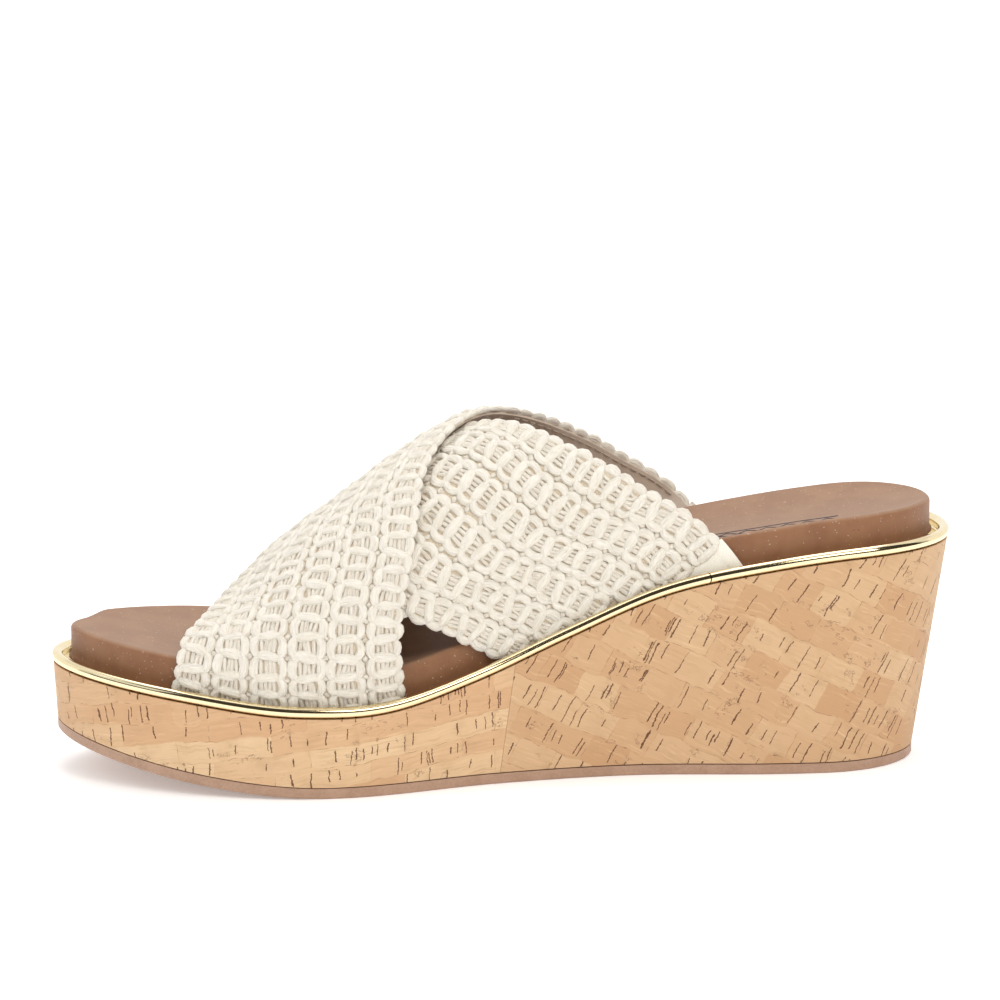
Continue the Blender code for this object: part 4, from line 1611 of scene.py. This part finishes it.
@dataclass
class Footbed:
    """The moulded footbed and the printed mark at its heel."""

    last: Last
    bottom: float = 0.0006
    recess: float = 0.0072
    roof: float = 0.0027
    rounding: float = 0.0013
    lip: float = 0.0007
    heel_cup: float = 0.0034
    ball_dish: float = 0.0022
    arch_rise: float = 0.0026
    toe_wave: float = 0.0015
    wave_start: Span = (-0.1200, -0.1135)
    wave_end: Span = (-0.085, -0.060)
    stations: int = 130
    places: int = 49
    mark_span: Span = (0.0600, 0.0960)
    mark_across: Span = (-0.72, -0.28)
    lozenge: Span = (0.0028, 0.155)
    lozenges: int = 6

    def dish(self, x: np.ndarray, across: np.ndarray, end: np.ndarray) -> np.ndarray:
        """How deep the top lies under its edge.

        Args:
            x: places along the shoe.
            across: -1 at the inner edge to 1 at the outer.
            end: 0 at the tips of toe and heel to 1 between them.

        Returns:
            The depth at each place.
        """
        half = self.last.half
        depth = through(half * np.array([-1, -0.4, 0.1, 0.6, 1]), np.array([0.4, 1, 0.7, 1, 1]), x)
        blend = np.clip(x / (0.4 * half) + 0.5, 0, 1)
        full = self.ball_dish + (self.heel_cup - self.ball_dish) * blend
        bowl = (1 - np.abs(across) ** 3) * end**2
        arch = self.arch_rise * np.exp(-(((x - 0.15 * half) / (0.25 * half)) ** 2))
        arch = arch * np.clip(-across, 0, 1) * (1 - np.abs(across) ** 3)
        return full * depth * bowl - arch

    def wave(self, x: np.ndarray, across: np.ndarray) -> np.ndarray:
        """The rise of the outer rim behind the tip of the toe."""
        rise = smooth(*self.wave_start, x) * (1 - smooth(*self.wave_end, x))
        return self.toe_wave * rise * smooth(0.0, 0.9, across)

    def rim(self, inset: float, height: float, share: np.ndarray, lip: float = 0.0) -> np.ndarray:
        """One closed ring of the footbed's wall.

        Args:
            inset: how far the ring is drawn in.
            height: its height over the welt line.
            share: fractions of the length.
            lip: how far the foot of the wall stands out at toe and heel.

        Returns:
            Points round the ring.
        """
        last = self.last
        ring = last.ring(last.end_margin + inset - lip, last.side_margin + inset, height, share)
        if height > 0.5 * last.footbed_edge:
            ring[:, 2] += self.wave(ring[:, 0], np.sign(ring[:, 1]) * 0.9)
        return ring

    def top(self) -> Arrays:
        """The top as a grid of points, from the inner to the outer rim, and the last ring.

        Returns:
            The grid, and the ring round it.
        """
        share = spread(self.stations)
        last_ring = self.rim(self.rounding, self.last.footbed_edge, share)
        count, total = len(share), len(last_ring)
        inner = last_ring[1 : count - 1]
        outer = last_ring[[total - i for i in range(1, count - 1)]]
        across = np.linspace(-1, 1, self.places)[:, None, None]
        grid = inner[None] + (outer - inner)[None] * (across + 1) / 2
        end = np.minimum(1, self.last.rounding(inner[:, 0], last_ring[0, 0], last_ring[count - 1, 0]))
        grid[..., 2] -= self.dish(inner[None, :, 0], across[..., 0], end[None])
        return grid, last_ring

    def surface(self, x: np.ndarray, across: np.ndarray, lift: float) -> np.ndarray:
        """Points a little above the top, at places along the shoe and across it.

        Args:
            x: places along the shoe.
            across: -1 at the inner edge to 1 at the outer.
            lift: how far the points lie over the top.

        Returns:
            The points.
        """
        grid, _ = self.top()
        places = grid[0, :, 0]
        rows = np.linspace(-1, 1, self.places)
        points = np.empty((len(x), 3))
        for i, (place, turn) in enumerate(zip(x, across)):
            k = np.clip(np.searchsorted(places, place) - 1, 0, len(places) - 2)
            t = (place - places[k]) / (places[k + 1] - places[k])
            section = grid[:, k] * (1 - t) + grid[:, k + 1] * t
            points[i] = [np.interp(turn, rows, section[:, axis]) for axis in range(3)]
        points[:, 2] += lift
        return points

    def body(self) -> Shape:
        """The closed body of the footbed.

        Returns:
            The body: wall, base with its recess, and dished top.
        """
        share = spread(self.stations)
        edge, r = self.last.footbed_edge, self.rounding
        steps = [(self.recess, self.roof), (self.recess, self.bottom), (0.0, self.bottom)]
        rings = [self.rim(inset, height, share) for inset, height in steps]
        for height, part in ((self.bottom + 0.0001, 1), (0.0014, 1), (0.0020, 0.35)):
            rings.append(self.rim(0, height, share, part * self.lip))
        for height in np.linspace(0.0026, edge - r, 5):
            rings.append(self.rim(0, height, share))
        for angle in np.radians([20, 40, 60, 78]):
            rings.append(self.rim(r * (1 - math.cos(angle)), edge - r * (1 - math.sin(angle)), share))
        grid, last_ring = self.top()
        rings.append(last_ring)
        rings = np.array(rings)
        total, count = len(last_ring), len(share)
        faces = loft(rings, True)
        points = list(rings.reshape(-1, 3))
        rim = (len(rings) - 1) * total
        index = np.empty(grid.shape[:2], int)
        index[0] = rim + np.arange(1, count - 1)
        index[-1] = rim + total - np.arange(1, count - 1)
        inside = grid[1:-1].reshape(-1, 3)
        index[1:-1] = len(points) + np.arange(len(inside)).reshape(grid[1:-1].shape[:2])
        points += list(inside)
        for i in range(index.shape[0] - 1):
            for j in range(index.shape[1] - 1):
                faces.append((index[i, j], index[i, j + 1], index[i + 1, j + 1], index[i + 1, j]))
            faces.append((rim, index[i, 0], index[i + 1, 0]))
            faces.append((rim + count - 1, index[i + 1, -1], index[i, -1]))
        base = [(0, total - 1, 1)]
        base += [(i, total - i, total - i - 1, i + 1) for i in range(1, count - 2)]
        base.append((count - 2, count, count - 1))
        faces = [tuple(int(i) for i in face) for face in faces + base]
        return Shape(np.array(points), faces, {})

    def mark(self) -> Shape:
        """A plain printed ornament: two fine lines with a row of lozenges between them.

        Returns:
            The strokes of the ornament.
        """
        rng = np.random.default_rng(3)
        low, high = self.mark_span
        wide, deep = self.lozenge
        strokes = [(np.linspace(low, high, 9), np.full(9, across)) for across in self.mark_across]
        turn = np.linspace(0, 4, 9)
        loop_x = wide * np.interp(turn, range(5), [-1, 0, 1, 0, -1])
        loop_y = deep * np.interp(turn, range(5), [0, 1, 0, -1, 0])
        margin = 1.25 * wide
        for middle in np.linspace(low + margin, high - margin, self.lozenges):
            strokes.append((middle + loop_x, sum(self.mark_across) / 2 + loop_y))
        paths = np.array([self.surface(x, across, 0.00008) for x, across in strokes])
        normals = np.broadcast_to(np.array([0, 0, 1.0]), paths.shape)
        return tubes(paths, normals, 0.00030, 0.00008, 6, rng)

    def make(self) -> None:
        """Builds the footbed and its mark and puts them on the shoe."""
        moulding = self.body().build("footbed_moulding", MouldedFoam().build(), 35)
        lay(moulding, "footbed_foam", "footbed")
        ink = Plain("stamp_ink", (0.085, 0.080, 0.095), (0.045, 0.042, 0.055), 0.45, 900).build()
        lay(self.mark().build("heel_stamp", ink), "footbed_foam")


@dataclass
class CorkCovers:
    """The two sheets of cork round the wedge."""

    last: Last
    seam: float = 0.0005
    slit: float = 0.00004
    drop: float = 0.0006
    levels: int = 9
    front_pale: Colour = (0.710, 0.500, 0.298)
    front_warm: Colour = (0.610, 0.362, 0.195)

    def wall(self, inset: float, share: np.ndarray, column: int) -> Arrays:
        """Points of the top and of the bottom edge on one side of the wedge.

        Args:
            inset: how far the wall is drawn in.
            share: fractions of the length.
            column: 1 for the inner side, 2 for the outer.

        Returns:
            The top edge and the bottom edge.
        """
        last = self.last
        upper = last.outline(inset, inset, True, share)
        lower = last.outline(inset, inset, False, share)
        top = np.stack([upper[0], upper[column], last.welt_z(upper[0])], 1)
        bottom = np.stack([lower[0], lower[column], last.sole_z(lower[0]) + last.outsole + last.gap], 1)
        drop = self.drop / (top[:, 2] - bottom[:, 2])
        return top + (bottom - top) * drop[:, None], bottom

    def cover(self, low: float, high: float, name: str, finish: CorkSheet) -> bpy.types.Object:
        """One sheet between two places along the shoe.

        Args:
            low: where the sheet starts along the shoe.
            high: where it ends.
            name: the solid that it stands for.
            finish: its cork.

        Returns:
            The sheet as an object.
        """
        last = self.last
        t = spread(190)
        ends = [(place + last.half) / last.length for place in (low, high)]
        share = np.concatenate([ends[:1], t[(t > ends[0] + 1e-6) & (t < ends[1] - 1e-6)], ends[1:]])
        sheets = []
        for inset in (0.0, last.cork):
            edges = []
            near, far = self.wall(inset, share, 1), self.wall(inset, share, 2)
            for inner, outer in zip(near, far):
                if ends[0] <= 0:
                    edges.append(np.concatenate([inner[::-1], outer[1:]]))
                else:
                    edges.append(np.concatenate([inner, outer[-2::-1]]))
            levels = np.linspace(0, 1, self.levels)[:, None, None]
            sheets.append(edges[0][None] * (1 - levels) + edges[1][None] * levels)
        section = np.concatenate([sheets[0], sheets[1][::-1]])
        way = along(sheets[0][self.levels // 2, :, :2])
        wall = np.zeros(section.shape)
        wall[..., 0] = -way if ends[0] <= 0 else way
        wall[..., 1] = section[..., 2]
        shape = Shape(section.reshape(-1, 3), skin(section), {"wall": wall.reshape(-1, 3) / MM})
        return shape.build(f"{name}_sheet", finish.build(), 40)

    def make(self) -> None:
        """Builds both sheets and puts them on the shoe."""
        half = self.last.half
        tones = {"pale": self.front_pale, "warm": self.front_warm}
        long_grain = CorkSheet("cork_front_grain", slant=-8, course=6.0, block=27.0, **tones)
        cross_grain = CorkSheet("cork_back_grain", slant=24, course=8.0, block=12.5)
        for name, low, high, finish in (
            ("cork_cover_front", -half, self.seam - self.slit, long_grain),
            ("cork_cover_back", self.seam + self.slit, half, cross_grain),
        ):
            lay(self.cover(low, high, name, finish), "cork", name)


@dataclass
class Welt:
    """The gold bead round the top edge of the cork, with its hidden flange."""

    last: Last
    height: float = 0.0031
    sheet: float = 0.0008
    flange: float = 0.0130
    joint: float = 0.0556
    foot: float = -0.00035
    bulge: float = 0.0005
    flange_top: float = -0.0007

    def section(self) -> list[Span]:
        """Pairs of inset from the wall and height over the welt line, round the strip.

        Returns:
            The pairs, from the foot of the bead over its top and round the flange.
        """
        last = self.last
        middle = last.bead_width / 2
        points = []
        for angle in np.radians(np.linspace(-62, 172, 22)):
            reach = middle - (middle + self.bulge) * math.cos(angle)
            points.append((reach, self.foot + self.height * 0.5 * (1 + math.sin(angle))))
        web = last.cork + 2 * last.gap
        points += [
            (last.bead_width, self.flange_top + 0.0003),
            (last.bead_width + 0.0003, self.flange_top),
            (self.flange, self.flange_top),
            (self.flange, self.flange_top - self.sheet),
            (web, self.flange_top - self.sheet),
            (web, self.foot),
        ]
        return points

    def make(self) -> None:
        """Builds the strip and puts it on the shoe."""
        last = self.last
        joint = (self.joint + last.half) / last.length
        slit = 0.5 * last.gap / last.length
        share = np.sort(np.concatenate([spread(200), [joint - slit, joint + slit]]))
        cut = int(np.searchsorted(share, joint))
        rows = []
        for inset, height in self.section():
            x, inner, outer = last.outline(inset, inset, True, share)
            near = np.stack([x, inner, last.welt_z(x) + height], 1)
            far = np.stack([x, outer, last.welt_z(x) + height], 1)
            rows.append(np.concatenate([near[cut:], far[-2:0:-1], near[:cut]]))
        sections = np.stack(rows, 1)
        total = sections.shape[1]
        faces = loft(sections, True)
        faces.append(tuple(range(total - 1, -1, -1)))
        faces.append(tuple(range((len(sections) - 1) * total, len(sections) * total)))
        shape = Shape(sections.reshape(-1, 3), faces, {})
        lay(shape.build("welt_strip_bead", GoldFoil().build(), 42), "gold_welt", "welt_strip")


@dataclass
class KeptSolids:
    """The solids whose shape is right as designed, with better finishes."""

    nodes: dict[str, bpy.types.Object]

    def finishes(self) -> dict[str, Plain]:
        """The finish of each node.

        Returns:
            A finish for each node's name.
        """
        rubber = Plain("outsole_rubber", (0.46, 0.29, 0.20), (0.36, 0.215, 0.14), 0.42, 1500)
        foam = Plain("core_foam", (0.80, 0.76, 0.66), (0.66, 0.61, 0.50), 0.80, 900)
        board = Plain("board_fibre", (0.48, 0.38, 0.28), (0.36, 0.27, 0.19), 0.85, 1100)
        felt = Plain("filler_felt", (0.56, 0.51, 0.45), (0.42, 0.37, 0.31), 0.92, 1400)
        bright, dull = (0.60, 0.61, 0.63), (0.48, 0.49, 0.51)
        steel = Plain("spring_steel", bright, dull, 0.25, 700, (1, 12, 1), 0.15, 1.0)
        return {
            "outsole": rubber,
            "wedge_core": foam,
            "insole_board": board,
            "bottom_filler": felt,
            "shank": steel,
            "shank_rivet_front": steel,
            "shank_rivet_back": steel,
        }

    def make(self) -> None:
        """Puts the finishes on."""
        finishes = self.finishes()
        built = {finish.name: finish.build() for finish in dict.fromkeys(finishes.values())}
        for name, finish in finishes.items():
            for slot in self.nodes[name].material_slots:
                slot.material = built[finish.name]
            LOG.info("%s: %s", name, finish.name)


# ---------------------------------------------------------------------------------------------
# Studio
# ---------------------------------------------------------------------------------------------


@dataclass
class Studio:
    """Plain pale floor with a painted glow, soft lights and the camera."""

    target: Point = (-0.000764, 0.0, 0.075527)
    aim: Point = (0.0, 0.0, 0.04)
    azimuth: float = -5.2973
    elevation: float = 10.7423
    distance: float = 1.007066
    lens: float = 126.38
    horizon: float = 0.36
    zenith: float = 0.96
    floor_size: float = 40.0
    floor_glow: Span = (0.24, 0.52)
    glow_span: Span = (0.25, 1.1)
    card_radius: float = 1.7

    def area(self, name: str, place: Point, size: float, power: float, colour: Colour) -> None:
        """One soft light aimed at the shoe.

        Args:
            name: the light's name.
            place: where it stands.
            size: length of its sides.
            power: its power in watts.
            colour: its colour.
        """
        data = bpy.data.lights.new(name, "AREA")
        data.shape = "SQUARE"
        data.size = size
        data.energy = power
        data.color = colour
        light = bpy.data.objects.new(name, data)
        light.location = place
        light.rotation_euler = (Vector(self.aim) - Vector(place)).to_track_quat("-Z", "Y").to_euler()
        bpy.context.scene.collection.objects.link(light)

    def floor(self) -> None:
        """A wide pale floor that glows, less near the shoe than farther off: painted light that keeps the
        backdrop white and lifts the shoe's cast shadow.
        """
        bpy.ops.mesh.primitive_plane_add(size=self.floor_size)
        floor = bpy.context.active_object
        floor.name = "floor"
        work = NodeWork("glowing_floor")
        tone = work.noise(work.place(), 3.0, 2)
        away = work.node("ShaderNodeVectorMath", operation="LENGTH")
        work.feed(away.inputs[0], work.place())
        near, far = self.floor_glow
        share = work.clamp(away.outputs["Value"], *self.glow_span)
        glowing_finish = work.dress(
            Base_Color=work.mix(tone, (0.96, 0.96, 0.96), (0.94, 0.94, 0.94)),
            Roughness=0.9,
            Specular_IOR_Level=0.1,
            # Painted light: the floor glows though it is no lamp, lifting the shoe's cast shadow and
            # lighting it from below.
            Emission_Color=(1.0, 1.0, 1.0),
            Emission_Strength=work.plus(work.times(share, far - near), near),
        )
        floor.data.materials.append(glowing_finish)

    def card(self, name: str, heading: float, low: float, high: float, glow: float) -> None:
        """A curved card round half of the shoe that only shows in shiny pieces.

        Args:
            name: the card's name.
            heading: direction of its middle in degrees, -90 for the front.
            low: height of its lower edge.
            high: height of its upper edge.
            glow: how brightly it shines.
        """
        turns = np.radians(heading + np.linspace(-85, 85, 30))
        plan = self.card_radius * np.stack([np.cos(turns), np.sin(turns)], 1)
        rows = np.array([np.column_stack([plan, np.full(30, height)]) for height in (low, high)])
        work = NodeWork(f"{name}_felt")
        tone = work.noise(work.place(), 4.0, 2)
        colour = work.mix(tone, (0.030, 0.022, 0.012), (0.022, 0.016, 0.010))
        finish = work.dress(Base_Color=colour, Roughness=0.9)
        if glow:
            work.dress(Emission_Color=(1.0, 1.0, 1.0), Emission_Strength=glow)
        card = Shape(rows.reshape(-1, 3), loft(rows, False), {}).build(name, finish)
        card.visible_camera = False
        card.visible_diffuse = False
        card.visible_shadow = False

    def world(self) -> None:
        """A pale surround, brighter overhead than at the horizon."""
        world = bpy.data.worlds.new("surround")
        bpy.context.scene.world = world
        world.use_nodes = True
        tree = world.node_tree
        shade = tree.nodes["Background"]
        place = tree.nodes.new("ShaderNodeTexCoord")
        split = tree.nodes.new("ShaderNodeSeparateXYZ")
        tree.links.new(place.outputs["Generated"], split.inputs[0])
        ramp = tree.nodes.new("ShaderNodeMapRange")
        tree.links.new(split.outputs["Z"], ramp.inputs["Value"])
        ramp.inputs["From Min"].default_value = 0.0
        ramp.inputs["From Max"].default_value = 0.75
        ramp.inputs["To Min"].default_value = self.horizon
        ramp.inputs["To Max"].default_value = self.zenith
        tree.links.new(ramp.outputs["Result"], shade.inputs["Strength"])
        shade.inputs["Color"].default_value = (1.0, 1.0, 1.0, 1)

    def camera(self) -> None:
        """The camera, at the height of a low tripod."""
        data = bpy.data.cameras.new("camera")
        data.lens = self.lens
        data.sensor_width = 36
        data.dof.use_dof = False
        camera = bpy.data.objects.new("camera", data)
        a, e = math.radians(self.azimuth), math.radians(self.elevation)
        back = Vector((math.sin(a) * math.cos(e), -math.cos(a) * math.cos(e), math.sin(e)))
        camera.location = Vector(self.target) + back * self.distance
        camera.rotation_euler = (-back).to_track_quat("-Z", "Y").to_euler()
        bpy.context.scene.collection.objects.link(camera)
        bpy.context.scene.camera = camera

    def make(self) -> None:
        """Sets the studio up."""
        self.camera()
        self.floor()
        self.world()
        self.area("key", (0.30, -0.80, 0.85), 0.50, 3.7, (1.0, 0.95, 0.88))
        self.area("fill", (-0.85, -0.35, 0.60), 0.60, 1.0, (0.88, 0.94, 1.0))
        self.area("top", (0.0, 0.30, 0.95), 0.70, 3.2, (1.0, 1.0, 1.0))
        self.card("dark_card", -90, 0.06, 4.6, 0.0)
        self.card("white_card", 90, 0.0, 1.2, 1.0)
        bpy.context.scene.view_settings.view_transform = "Standard"


def bands(last: Last) -> tuple[Band, Band]:
    """The two bands, over and under.

    Args:
        last: the last that they go over.

    Returns:
        The over band and the under band.
    """
    form = Instep(last)
    over_front = (
        (0.0, 0.15, 0.30, 0.42, 0.50, 0.60, 0.70, 0.80, 0.88, 1.0),
        (-0.737, -0.710, -0.658, -0.622, -0.590, -0.533, -0.425, -0.313, -0.180, -0.028),
    )
    over_back = (
        (0.0, 0.12, 0.30, 0.42, 0.50, 0.60, 0.70, 0.80, 0.87, 1.0),
        (-0.236, -0.256, -0.199, -0.147, -0.066, 0.098, 0.214, 0.322, 0.408, 0.516),
    )
    turn = (0.0, 0.13, 0.20, 0.30, 0.40, 0.50, 0.58, 0.70, 0.87, 1.0)
    under_front = (-0.019, -0.197, -0.308, -0.403, -0.473, -0.527, -0.558, -0.588, -0.610, -0.618)
    under_back = (0.514, 0.411, 0.323, 0.221, 0.118, 0.000, -0.083, -0.149, -0.175, -0.170)
    over = Band(Layer.OVER, last, form, over_front, over_back, tab_far=True, row_pitch=0.0053)
    under = Band(Layer.UNDER, last, form, (turn, under_front), (turn, under_back), tab_far=False)
    return over, under


def main() -> None:
    """Builds the sandal's visible pieces and the studio."""
    logging.basicConfig(level=logging.INFO, format="%(message)s")
    last = Last()
    Studio().make()
    KeptSolids(frame["nodes"]).make()
    CorkCovers(last).make()
    Welt(last).make()
    Footbed(last).make()
    over, under = bands(last)
    for band, seed in ((over, 11), (under, 23)):
        Lining(band).make()
        Crochet(band, seed).make()
        EndTab(band).make()
    for band, edge, across, start, end in (
        (over, "front", 0.045, 0.16, 0.50),
        (over, "back", 0.955, 0.58, 0.90),
        (under, "front", 0.045, 0.17, 0.84),
        (under, "back", 0.955, 0.12, 0.86),
    ):
        StitchRow(band, edge, across, start, end).make()


if __name__ == "__main__":
    main()
